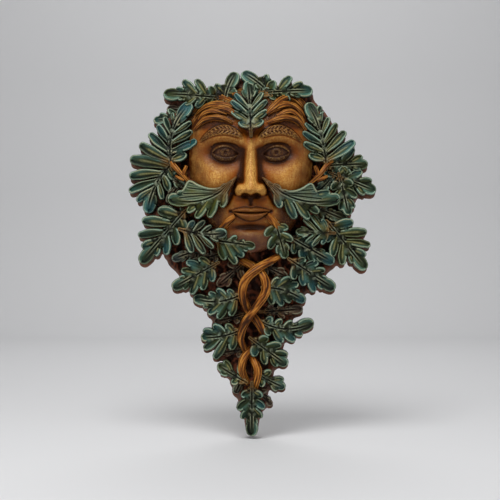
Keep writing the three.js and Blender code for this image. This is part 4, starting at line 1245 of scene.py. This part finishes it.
def stem_curve(name, stems, ends, carrier):
    """Open curves through the stems' points, with each point's radius.

    ends holds the shares of the radius left at the ends. Heights count from what carrier says lies there.
    """
    curve = bpy.data.curves.new(name, "CURVE")
    curve.dimensions = "3D"
    for points, diameter in stems:
        spline = curve.splines.new("POLY")
        spline.points.add(len(points) - 1)
        taper = np.interp(np.linspace(0, 1, len(points)), (0, 0.2, 0.75, 1), (ends[0], 1, 0.9, ends[1]))
        for point, (x, height, z), share in zip(spline.points, points, taper):
            height += carrier(np.array([[x, z]]))[0]
            place = (x * SPREAD, -height * DEPTH, (z - ORIGIN_ON_SHEET) * RISE)
            point.co = (*(coordinate * MM for coordinate in place), 1)
            point.radius = diameter / 2 * share * MM
    return curve


# Settings that many nodes share.
MULTIPLY = {"operation": "MULTIPLY"}
MULTIPLY_ADD = {"operation": "MULTIPLY_ADD"}
SCALE = {"operation": "SCALE"}
ON_POINTS = {"data_type": "FLOAT", "domain": "POINT"}


def add_node(tree, kind, settings, inputs):
    """Adds a node with its settings; each input takes a value, or another node's output as a link."""
    node = tree.nodes.new(kind)
    for name, value in settings.items():
        setattr(node, name, value)
    for socket, value in inputs.items():
        if isinstance(value, bpy.types.NodeSocket):
            tree.links.new(value, node.inputs[socket])
        else:
            node.inputs[socket].default_value = value
    return node


def stem_tree(material):
    """Sweeps a fluted section along every curve, turning as it goes, and roughens it like gnarled wood."""
    tree = bpy.data.node_groups.new("Fluted stem", "GeometryNodeTree")
    tree.interface.new_socket("Geometry", in_out="OUTPUT", socket_type="NodeSocketGeometry")
    tree.interface.new_socket("Geometry", in_out="INPUT", socket_type="NodeSocketGeometry")
    for name, kind in (
        ("Step", "Float"),
        ("Flutes", "Int"),
        ("Flute depth", "Float"),
        ("Turns per metre", "Float"),
        ("Roughness", "Float"),
        ("Grains round", "Float"),
        ("Grains per metre", "Float"),
    ):
        tree.interface.new_socket(name, in_out="INPUT", socket_type="NodeSocket" + kind)
    given = add_node(tree, "NodeGroupInput", {}, {}).outputs
    smooth = add_node(
        tree, "GeometryNodeCurveSplineType", {"spline_type": "CATMULL_ROM"}, {"Curve": given[0]}
    )
    fine = add_node(
        tree,
        "GeometryNodeResampleCurve",
        {"mode": "LENGTH"},
        {"Curve": smooth.outputs[0], "Length": given["Step"]},
    )
    along = add_node(tree, "GeometryNodeSplineParameter", {}, {})
    turns = add_node(
        tree, "ShaderNodeMath", MULTIPLY, {0: along.outputs["Length"], 1: given["Turns per metre"]}
    )
    angle = add_node(tree, "ShaderNodeMath", MULTIPLY, {0: turns.outputs[0], 1: math.tau})
    turned_rail = add_node(
        tree, "GeometryNodeSetCurveTilt", {}, {"Curve": fine.outputs[0], "Tilt": angle.outputs[0]}
    )
    rail = turned_rail
    for name, measure in (("along", "Factor"), ("reach", "Length")):
        rail = add_node(
            tree,
            "GeometryNodeStoreNamedAttribute",
            ON_POINTS,
            {"Geometry": rail.outputs[0], "Name": name, "Value": along.outputs[measure]},
        )
    circle = add_node(tree, "GeometryNodeCurvePrimitiveCircle", {}, {"Resolution": STEM_SIDES, "Radius": 1.0})
    index = add_node(tree, "GeometryNodeInputIndex", {}, {})
    around = add_node(
        tree, "ShaderNodeMath", MULTIPLY, {0: index.outputs[0], 1: math.tau / STEM_SIDES}
    )
    fluted = add_node(tree, "ShaderNodeMath", MULTIPLY, {0: around.outputs[0], 1: given["Flutes"]})
    wave = add_node(tree, "ShaderNodeMath", {"operation": "COSINE"}, {0: fluted.outputs[0]})
    groove = add_node(tree, "ShaderNodeMath", MULTIPLY_ADD, {0: wave.outputs[0], 1: -0.5, 2: 0.5})
    inset = add_node(
        tree, "ShaderNodeMath", MULTIPLY, {0: groove.outputs[0], 1: given["Flute depth"]}
    )
    shrink = add_node(tree, "ShaderNodeMath", {"operation": "SUBTRACT"}, {0: 1.0, 1: inset.outputs[0]})
    place = add_node(tree, "GeometryNodeInputPosition", {}, {})
    pulled = add_node(
        tree, "ShaderNodeVectorMath", SCALE, {0: place.outputs[0], "Scale": shrink.outputs[0]}
    )
    sunk = add_node(tree, "ShaderNodeMath", MULTIPLY, {0: inset.outputs[0], 1: WASH_IN_FLUTE})
    fluting = add_node(
        tree,
        "GeometryNodeStoreNamedAttribute",
        ON_POINTS,
        {"Geometry": circle.outputs[0], "Name": "flute", "Value": sunk.outputs[0]},
    )
    marked = add_node(
        tree,
        "GeometryNodeStoreNamedAttribute",
        {"data_type": "FLOAT_VECTOR", "domain": "POINT"},
        {"Geometry": fluting.outputs[0], "Name": "section", "Value": place.outputs[0]},
    )
    section = add_node(
        tree, "GeometryNodeSetPosition", {}, {"Geometry": marked.outputs[0], "Position": pulled.outputs[0]}
    )
    radius = add_node(tree, "GeometryNodeInputRadius", {}, {})
    swept = add_node(
        tree,
        "GeometryNodeCurveToMesh",
        {},
        {
            "Curve": rail.outputs[0],
            "Profile Curve": section.outputs[0],
            "Scale": radius.outputs[0],
            "Fill Caps": True,
        },
    )
    on_section = add_node(
        tree, "GeometryNodeInputNamedAttribute", {"data_type": "FLOAT_VECTOR"}, {"Name": "section"}
    )
    round_it = add_node(
        tree,
        "ShaderNodeVectorMath",
        SCALE,
        {0: on_section.outputs[0], "Scale": given["Grains round"]},
    )
    reach = add_node(tree, "GeometryNodeInputNamedAttribute", {"data_type": "FLOAT"}, {"Name": "reach"})
    down_it = add_node(
        tree, "ShaderNodeMath", MULTIPLY, {0: reach.outputs[0], 1: given["Grains per metre"]}
    )
    lengthwise = add_node(tree, "ShaderNodeCombineXYZ", {}, {"Z": down_it.outputs[0]})
    spot = add_node(
        tree, "ShaderNodeVectorMath", {"operation": "ADD"}, {0: round_it.outputs[0], 1: lengthwise.outputs[0]}
    )
    grain = add_node(tree, "ShaderNodeTexNoise", {}, {"Vector": spot.outputs[0], "Scale": 1.0, "Detail": 3.0})
    swell = add_node(
        tree, "ShaderNodeMath", MULTIPLY_ADD, {0: grain.outputs[0], 1: 2.0, 2: -1.0}
    )
    amount = add_node(
        tree, "ShaderNodeMath", MULTIPLY, {0: swell.outputs[0], 1: given["Roughness"]}
    )
    low, high = (
        add_node(
            tree, "ShaderNodeMapRange", {}, {0: grain.outputs[0], 1: start, 2: stop, 3: 0.0, 4: 1.0}
        )
        for start, stop in (WASH_IN_GRAIN, RUBBED_GRAIN)
    )
    flute = add_node(tree, "GeometryNodeInputNamedAttribute", {"data_type": "FLOAT"}, {"Name": "flute"})
    dark = add_node(
        tree, "ShaderNodeMath", {"operation": "MAXIMUM"}, {0: low.outputs[0], 1: flute.outputs[0]}
    )
    normal = add_node(tree, "GeometryNodeInputNormal", {}, {})
    push = add_node(
        tree, "ShaderNodeVectorMath", SCALE, {0: normal.outputs[0], "Scale": amount.outputs[0]}
    )
    rough = add_node(
        tree, "GeometryNodeSetPosition", {}, {"Geometry": swept.outputs[0], "Offset": push.outputs[0]}
    )
    shaded = rough
    for name, guide in (("groove", dark), ("rubbed", high)):
        shaded = add_node(
            tree,
            "GeometryNodeStoreNamedAttribute",
            ON_POINTS,
            {"Geometry": shaded.outputs[0], "Name": name, "Value": guide.outputs[0]},
        )
    real = add_node(tree, "GeometryNodeRealizeInstances", {}, {"Geometry": shaded.outputs[0]})
    painted = add_node(
        tree, "GeometryNodeSetMaterial", {}, {"Geometry": real.outputs[0], "Material": material}
    )
    add_node(tree, "NodeGroupOutput", {}, {0: painted.outputs[0]})
    return tree


def stem_piece(name, stems, ends, tree, sizes, carrier=lambda spots: np.zeros(len(spots))):
    """Runs the stem tree over the stems' curves and keeps the result as a plain mesh."""
    rails = bpy.data.objects.new(name + "_curve", stem_curve(name + "_curve", stems, ends, carrier))
    bpy.context.scene.collection.objects.link(rails)
    modifier = rails.modifiers.new("Fluted stem", "NODES")
    modifier.node_group = tree
    for item in tree.interface.items_tree:
        if item.in_out == "INPUT" and item.name in sizes:
            modifier[item.identifier] = sizes[item.name]
    bpy.context.view_layer.update()
    evaluated = rails.evaluated_get(bpy.context.evaluated_depsgraph_get())
    mesh = bpy.data.meshes.new_from_object(evaluated)
    mesh.name = name
    rails.modifiers.remove(modifier)
    bpy.data.objects.remove(rails)
    mesh.shade_smooth()
    return finished(name, mesh)


def linear(code):
    """An sRGB hex colour as linear values, with full opacity."""
    shares = [int(code[i : i + 2], 16) / 255 for i in (1, 3, 5)]
    return (*(c / 12.92 if c <= 0.04045 else ((c + 0.055) / 1.055) ** 2.4 for c in shares), 1.0)


def painted_resin(name, base, coats, roughness, grain, lines=None):
    """Cold-cast resin, hand painted: coats over a base, each laid where a guide attribute says.

    A coat is its guide, colour, strength, the pattern that breaks it up, and how far it does so. The patterns
    are blotch, streak and speck, as coarse as a stiff brush leaves. grain is how far they stand in the
    surface, in mm. lines names the guides for how far across and along a lobe a point lies: then streaks run
    along the lobes, and stand in the relief like veins.
    """
    material = bpy.data.materials.new(name)
    material.use_nodes = True
    tree = material.node_tree
    tree.nodes.clear()
    place = add_node(tree, "ShaderNodeTexCoord", {}, {}).outputs["Object"]
    ways, squash, streak_width = place, (1, 1, STREAK_SQUASH), STREAK
    if lines:
        across, down = (
            add_node(tree, "ShaderNodeAttribute", {"attribute_name": guide}, {}) for guide in lines
        )
        ways = add_node(
            tree, "ShaderNodeCombineXYZ", {}, {"X": across.outputs["Fac"], "Y": down.outputs["Fac"]}
        ).outputs[0]
        squash, streak_width = (1, LOBE_STREAK_SQUASH, 1), LOBE_STREAK
    long_way = add_node(tree, "ShaderNodeMapping", {}, {"Vector": ways, "Scale": squash})
    patterns = {}
    for pattern, source, width, detail in (
        ("blotch", place, BLOTCH, 2.0),
        ("streak", long_way.outputs[0], streak_width, 2.0),
        ("speck", place, SPECK, 3.0),
    ):
        noise_node = add_node(
            tree, "ShaderNodeTexNoise", {}, {"Vector": source, "Scale": 1 / (width * MM), "Detail": detail}
        )
        spread = add_node(
            tree,
            "ShaderNodeMapRange",
            {},
            {0: noise_node.outputs[0], 1: PATTERN_LOW, 2: PATTERN_HIGH, 3: 0.0, 4: 1.0},
        )
        patterns[pattern] = spread.outputs[0]
    colour = base
    for guide, coat, strength, pattern, broken in coats:
        where = add_node(tree, "ShaderNodeAttribute", {"attribute_name": guide}, {})
        amount = add_node(
            tree,
            "ShaderNodeMath",
            MULTIPLY_ADD,
            {0: patterns[pattern], 1: PATTERN_GAIN * broken * strength, 2: (1 - broken) * strength},
        )
        mask = add_node(
            tree,
            "ShaderNodeMath",
            {"operation": "MULTIPLY", "use_clamp": True},
            {0: amount.outputs[0], 1: where.outputs["Fac"]},
        )
        laid = add_node(
            tree, "ShaderNodeMix", {"data_type": "RGBA"}, {0: mask.outputs[0], 6: colour, 7: coat}
        )
        colour = laid.outputs[2]
    gloss = add_node(
        tree,
        "ShaderNodeMapRange",
        {},
        {0: patterns["speck"], 1: 0.0, 2: 1.0, 3: roughness - SHINIER, 4: roughness + DULLER},
    )
    relief = add_node(
        tree,
        "ShaderNodeMath",
        MULTIPLY_ADD,
        {0: patterns["streak"], 1: STREAK_TOOTH if lines else 0.0, 2: patterns["speck"]},
    )
    tooth = add_node(
        tree,
        "ShaderNodeBump",
        {},
        {"Strength": TOOTH_STRENGTH, "Distance": grain * MM, "Height": relief.outputs[0]},
    )
    shader = add_node(
        tree,
        "ShaderNodeBsdfPrincipled",
        {},
        {
            "Base Color": colour,
            "Roughness": gloss.outputs[0],
            "Normal": tooth.outputs[0],
            "Specular IOR Level": PAINT_SPECULAR,
        },
    )
    add_node(tree, "ShaderNodeOutputMaterial", {}, {0: shader.outputs[0]})
    return material


def leaf_paint(leaf):
    """Satin acrylic on resin: dark green, near black in the hollows as a dark wash deepened with painted
    shade, and a dry-brushed pale edge that also carries painted highlights.
    """
    return painted_resin(
        "Dry-brushed leaf paint, satin",
        (*leaf.green, 1),
        (
            ("tone", linear("#2A2E12"), 0.85, "blotch", 0.4),
            ("blade", linear("#12120A"), 0.7, "streak", 0.4),
            ("olive", linear("#5E611C"), 0.85, "streak", 0.4),
            ("tip", (*leaf.teal, 1), 0.6, "blotch", 0.6),
            ("brown", linear("#5A3424"), 0.9, "blotch", 0.2),
            # Near black in the hollows: a dark wash, deepened as painted shade and heavier on each lobe's
            # shaded side.
            ("hollow", linear("#050604"), 0.9, "streak", 0.55),
            # Painted highlight along the higher side of each lobe.
            ("highlight_band", linear("#54796B"), 0.7, "streak", 0.7),
            ("vein", linear("#8A8656"), 0.7, "speck", 0.5),
            # The pale edge: dry-brushing that also stands in for glints on the rims, as painted highlight.
            ("crest", (*leaf.edge, 1), 0.85, "speck", 0.45),
            ("crest", linear("#B09A66"), 0.65, "blotch", 0.95),
            ("cool", linear("#2F6C78"), 0.3, "speck", 0.5),
            ("stalk", linear("#7E5626"), 0.8, "streak", 0.5),
            ("groove", linear("#030402"), 0.97, "speck", 0.1),
            # The leaves' walls: the casting's dark brown, darkened further as painted shade between the
            # leaves.
            ("wall", linear("#150C07"), 1.0, "blotch", 0.1),
            ("side", linear("#54392C"), 0.9, "blotch", 0.3),
        ),
        roughness=0.32,
        grain=0.12,
        lines=("across", "down"),
    )


def face_paint(face):
    """Satin ochre on resin: rubbed back to pale gold on the high places, which also serves as painted
    highlight, with brown wash in the low.
    """
    return painted_resin(
        "Antiqued ochre face paint, satin",
        (*face.ochre, 1),
        (
            ("skin", linear("#6E380C"), 0.65, "blotch", 0.95),
            ("skin", linear("#82420E"), 0.5, "streak", 0.95),
            ("skin", linear("#5E2D0B"), 0.35, "speck", 0.95),
            # Rubbed-back pale gold that also serves as painted highlight on the raised places.
            ("shine", (*face.highlight, 1), 0.9, "streak", 0.45),
            ("skin", linear("#944E12"), 0.5, "speck", 0.9),
            ("edge", linear("#4A2408"), 0.95, "blotch", 0.35),
            ("brow", linear("#4A2A12"), 0.9, "speck", 0.45),
            ("lips", linear("#6A3A16"), 0.8, "blotch", 0.3),
            ("eye", linear("#301C12"), 0.95, "speck", 0.2),
            # Dark brown under the locks, and painted shade on the lower cheeks beside the mouth.
            ("under_locks_and_cheek_shade", linear("#3A1C0C"), 0.95, "speck", 0.3),
            ("neck", linear("#583628"), 0.92, "blotch", 0.2),
            ("wash", (*face.wash, 1), 1.0, "speck", 0.15),
            ("wall", linear("#1E120C"), 1.0, "blotch", 0.05),
        ),
        roughness=0.32,
        grain=0.3,
    )


def stem_paint(stems):
    """Satin ochre brown on resin: striped along the wood, dark in every groove."""
    return painted_resin(
        "Antiqued vine paint, satin",
        (*stems.ochre, 1),
        (
            ("along", linear("#5E3210"), 0.6, "blotch", 0.7),
            ("rubbed", linear("#CC8E3E"), 0.75, "speck", 0.3),
            ("groove", (*stems.groove, 1), 1.0, "speck", 0.15),
        ),
        roughness=0.4,
        grain=0.12,
    )


def ground_paint(casting):
    """Matt dark brown on resin over gnarled relief, darkened nearly to black as painted shade between the
    leaves; the wall face is left as bare cast resin.
    """
    return painted_resin(
        "Brown-washed casting ground, matt",
        (*casting.ground, 1),
        (
            ("ridge", linear("#6E3820"), 0.8, "streak", 0.4),
            ("wall", linear("#7E5A4A"), 0.85, "blotch", 0.5),
            ("back", (*casting.bare, 1), 1.0, "blotch", 0.1),
        ),
        roughness=0.6,
        grain=0.2,
    )


def length(name, description, default):
    return FloatProperty(name=name, description=description, default=default * MM, unit="LENGTH", precision=4)


def colour(name, description, code):
    return FloatVectorProperty(
        name=name, description=description, default=linear(code)[:3], subtype="COLOR", size=3, min=0, max=1
    )


class PlaqueLeafSettings(bpy.types.PropertyGroup):
    mesh_step: length("Mesh step", "Spacing of the points on a leaf", 0.5)
    green: colour("Leaf green", "Body colour of the leaves", "#12281A")
    teal: colour("Tip teal", "Colour brushed over the lobes' ends", "#1F5650")
    # The edge colour is dry-brushed paint that also serves as painted highlight on the rims.
    edge: colour("Edge", "Pale colour dry-brushed on the raised edges", "#BAD6C0")


class PlaqueFaceSettings(bpy.types.PropertyGroup):
    mesh_step: length("Mesh step", "Spacing of the points on the face", 0.6)
    ochre: colour("Ochre", "Body colour of the face", "#A65C18")
    # The highlight colour is rubbed-back paint that also serves as painted highlight on the raised places.
    highlight: colour("Highlight", "Colour of the rubbed high places", "#DEB05E")
    wash: colour("Wash", "Colour left in the low places", "#2A1204")


class PlaqueStemSettings(bpy.types.PropertyGroup):
    flutes: IntProperty(name="Vine flutes", description="Grooves round a vine", default=9, min=3)
    flute_depth: FloatProperty(
        name="Flute depth",
        description="Depth of a groove as a share of the radius",
        default=0.06,
        subtype="FACTOR",
    )
    ochre: colour("Vine ochre", "Body colour of vines and tendrils", "#8E4C12")
    groove: colour("Groove", "Colour left in the grooves", "#2E190C")


class PlaqueCastingSettings(bpy.types.PropertyGroup):
    mesh_step: length("Mesh step", "Spacing of the points on the ground", 1.3)
    # The ground colour is the casting's dark brown, darkened further as painted shade between the leaves.
    ground: colour("Ground", "Colour of the ground behind the leaves", "#220F08")
    bare: colour("Bare resin", "Colour of the uncoated wall face", "#8B7D6B")


class PlaqueStageSettings(bpy.types.PropertyGroup):
    backdrop: colour("Backdrop", "Colour of floor and wall", "#D9D9DA")
    key_power: FloatProperty(
        name="Key light", description="Power of the light above", default=8.9, unit="POWER"
    )
    fill_power: FloatProperty(
        name="Fill lights", description="Power of each other light", default=3, unit="POWER"
    )
    sky: FloatProperty(name="Room light", description="Strength of the light from all round", default=0.3)


class PLAQUE_OT_casting(bpy.types.Operator):
    """Builds the casting's ground, its outer walls and the wall face with the keyhole"""

    bl_idname = "plaque.casting"
    bl_label = "Casting"

    def execute(self, context):
        settings = context.scene.plaque_casting
        solid = Solid()
        leaves = [leaf for group in leaf_groups().values() for leaf in group]
        ground_piece(solid, leaves, settings.mesh_step / MM)
        solid.piece("casting_ground", ground_paint(settings))
        return {"FINISHED"}


class PLAQUE_OT_face(bpy.types.Operator):
    """Builds the face"""

    bl_idname = "plaque.face"
    bl_label = "Face"

    def execute(self, context):
        settings = context.scene.plaque_face
        solid = Solid()
        face_piece(solid, settings.mesh_step / MM)
        solid.piece("face", face_paint(settings))
        return {"FINISHED"}


class PLAQUE_OT_leaves(bpy.types.Operator):
    """Builds the oak leaves, one piece for each group"""

    bl_idname = "plaque.leaves"
    bl_label = "Leaves"

    def execute(self, context):
        settings = context.scene.plaque_leaves
        material = leaf_paint(settings)
        for group, leaves in leaf_groups().items():
            solid = Solid()
            for leaf in leaves:
                leaf_patch(solid, leaf, settings.mesh_step / MM)
            solid.piece(group + "_leaves", material)
        return {"FINISHED"}


class PLAQUE_OT_stems(bpy.types.Operator):
    """Builds the vines of the beard, the tendrils on the forehead, the twigs and the stems at the mouth"""

    bl_idname = "plaque.stems"
    bl_label = "Stems"

    def execute(self, context):
        settings = context.scene.plaque_stems
        tree = stem_tree(stem_paint(settings))
        sizes = {
            "Step": STEM_STEP * MM,
            "Flutes": settings.flutes,
            "Flute depth": settings.flute_depth,
            "Turns per metre": 4.0,
            "Roughness": 0.9 * MM,
            "Grains round": 2.2,
            "Grains per metre": 60.0,
        }
        stem_piece("vines", VINES, VINE_ENDS, tree, sizes)
        sizes |= {"Flutes": 9, "Flute depth": 0.25, "Turns per metre": 2.0, "Roughness": 0.8 * MM}
        stem_piece("tendrils", TENDRILS, TENDRIL_ENDS, tree, sizes, skin_height)
        sizes |= {"Flutes": 5, "Flute depth": 0.1, "Turns per metre": 8.0, "Roughness": 0.5 * MM}
        stem_piece("twigs_and_mouth_stems", TWIGS + MOUTH_STEMS, TWIG_ENDS, tree, sizes)
        return {"FINISHED"}


class PLAQUE_OT_stage(bpy.types.Operator):
    """Builds the pale floor and wall, the soft lights and the camera"""

    bl_idname = "plaque.stage"
    bl_label = "Stage"

    def execute(self, context):
        settings = context.scene.plaque_stage
        add_backdrop(settings)
        add_lights(settings)
        add_camera()
        return {"FINISHED"}


def leaf_groups():
    """The leaves of each group, with their chance lifts and tones drawn from one fixed seed."""
    draws = np.random.default_rng(LEAF_SEED)
    return {group: [Leaf(name, row, draws) for name, row in rows.items()] for group, rows in LEAVES.items()}


def add_backdrop(settings):
    """A floor that sweeps up into a wall behind the plaque."""
    turns = np.linspace(0, math.pi / 2, 24)
    arc = [(SWEEP_RADIUS * math.sin(a), SWEEP_RADIUS * (1 - math.cos(a))) for a in turns]
    floor = CAD_LOW.z
    profile = [(-STAGE_REACH, floor)]
    profile += [(WALL_BEHIND - SWEEP_RADIUS + y, floor + z) for y, z in arc]
    profile += [(WALL_BEHIND, floor + 2 * STAGE_REACH)]
    points = [(x, y, z) for y, z in profile for x in (-STAGE_REACH, STAGE_REACH)]
    faces = [(2 * i, 2 * i + 1, 2 * i + 3, 2 * i + 2) for i in range(len(profile) - 1)]
    mesh = bpy.data.meshes.new("backdrop")
    mesh.from_pydata(points, [], faces)
    mesh.shade_smooth()
    mesh.materials.append(backdrop_paper(settings))
    backdrop = bpy.data.objects.new("backdrop", mesh)
    bpy.context.scene.collection.objects.link(backdrop)


def backdrop_paper(settings):
    """Matt studio paper: plain and pale, so that the plaque's shadow falls on it softly."""
    material = bpy.data.materials.new("Matt studio paper")
    material.use_nodes = True
    tree = material.node_tree
    tree.nodes.clear()
    shader = add_node(
        tree, "ShaderNodeBsdfPrincipled", {}, {"Base Color": (*settings.backdrop, 1), "Roughness": 0.9}
    )
    add_node(tree, "ShaderNodeOutputMaterial", {}, {0: shader.outputs[0]})
    return material


def add_lights(settings):
    """A soft light above and in front, weak ones at the sides, behind and on the wall, and a pale room."""
    middle = (CAD_LOW + CAD_HIGH) / 2
    for name, place, aim, size, power in (
        ("key", (-0.12, -0.56, 0.86), (0, 0, 0.08), 0.55, settings.key_power),
        ("fill_left", (-1.0, -0.8, 0.2), (0, 0, 0), 0.8, settings.fill_power),
        ("fill_right", (1.0, -0.8, 0.2), (0, 0, 0), 0.8, settings.fill_power),
        ("behind", (0.0, 0.9, 0.9), (0, 0, 0), 0.7, settings.fill_power),
        ("wall_wash", (0.0, 0.8, 1.2), (0, WALL_BEHIND, 0.7), 0.6, settings.fill_power),
    ):
        light = bpy.data.lights.new(name, "AREA")
        light.shape = "SQUARE"
        light.size = size
        light.energy = power
        lamp = bpy.data.objects.new(name, light)
        lamp.location = middle + Vector(place)
        lamp.rotation_euler = (Vector(aim) - Vector(place)).to_track_quat("-Z", "Y").to_euler()
        bpy.context.scene.collection.objects.link(lamp)
    world = bpy.data.worlds.new("room")
    world.use_nodes = True
    world.node_tree.nodes["Background"].inputs["Color"].default_value = linear("#F4F5F7")
    world.node_tree.nodes["Background"].inputs["Strength"].default_value = settings.sky
    bpy.context.scene.world = world
    bpy.context.scene.view_settings.view_transform = "Standard"


def add_camera():
    """Straight in front, with the plaque as large and as far off the middle as in the photograph."""
    camera = bpy.data.cameras.new("camera")
    camera.lens = LENS
    eye = bpy.data.objects.new("camera", camera)
    middle = (CAD_LOW + CAD_HIGH) / 2
    across = (PICTURE_MIDDLE[0] - PICTURE_SIZE / 2) * MM_PER_PIXEL * MM
    down = (PICTURE_MIDDLE[1] - PICTURE_SIZE / 2) * MM_PER_PIXEL * MM
    away = MM_PER_PIXEL * MM * PICTURE_SIZE * LENS / SENSOR
    eye.location = (middle.x - across, -EDGE_THICKNESS * MM - away, middle.z + down)
    eye.rotation_euler = (math.pi / 2, 0, 0)
    bpy.context.scene.collection.objects.link(eye)
    bpy.context.scene.camera = eye


class PLAQUE_PT_panel(bpy.types.Panel):
    """Sizes and colours of the plaque, and a button for each part of it"""

    bl_idname = "PLAQUE_PT_panel"
    bl_label = "Green man plaque"
    bl_space_type = "VIEW_3D"
    bl_region_type = "UI"
    bl_category = "Plaque"

    def draw(self, context):
        for operator in STEPS:
            box = self.layout.box()
            box.operator("plaque." + operator)
            group = getattr(context.scene, "plaque_" + operator)
            for name in group.bl_rna.properties.keys():
                if name not in ("name", "rna_type"):
                    box.prop(group, name)


STEPS = {
    "casting": PlaqueCastingSettings,
    "face": PlaqueFaceSettings,
    "leaves": PlaqueLeafSettings,
    "stems": PlaqueStemSettings,
    "stage": PlaqueStageSettings,
}
CLASSES = (
    *STEPS.values(),
    PLAQUE_OT_casting,
    PLAQUE_OT_face,
    PLAQUE_OT_leaves,
    PLAQUE_OT_stems,
    PLAQUE_OT_stage,
    PLAQUE_PT_panel,
)


def register():
    for cls in CLASSES:
        bpy.utils.register_class(cls)
    for name, group in STEPS.items():
        setattr(bpy.types.Scene, "plaque_" + name, bpy.props.PointerProperty(type=group))


def unregister():
    for name in STEPS:
        delattr(bpy.types.Scene, "plaque_" + name)
    for cls in reversed(CLASSES):
        bpy.utils.unregister_class(cls)


def main():
    register()
    for name in STEPS:
        getattr(bpy.ops.plaque, name)()


if __name__ == "__main__":
    main()
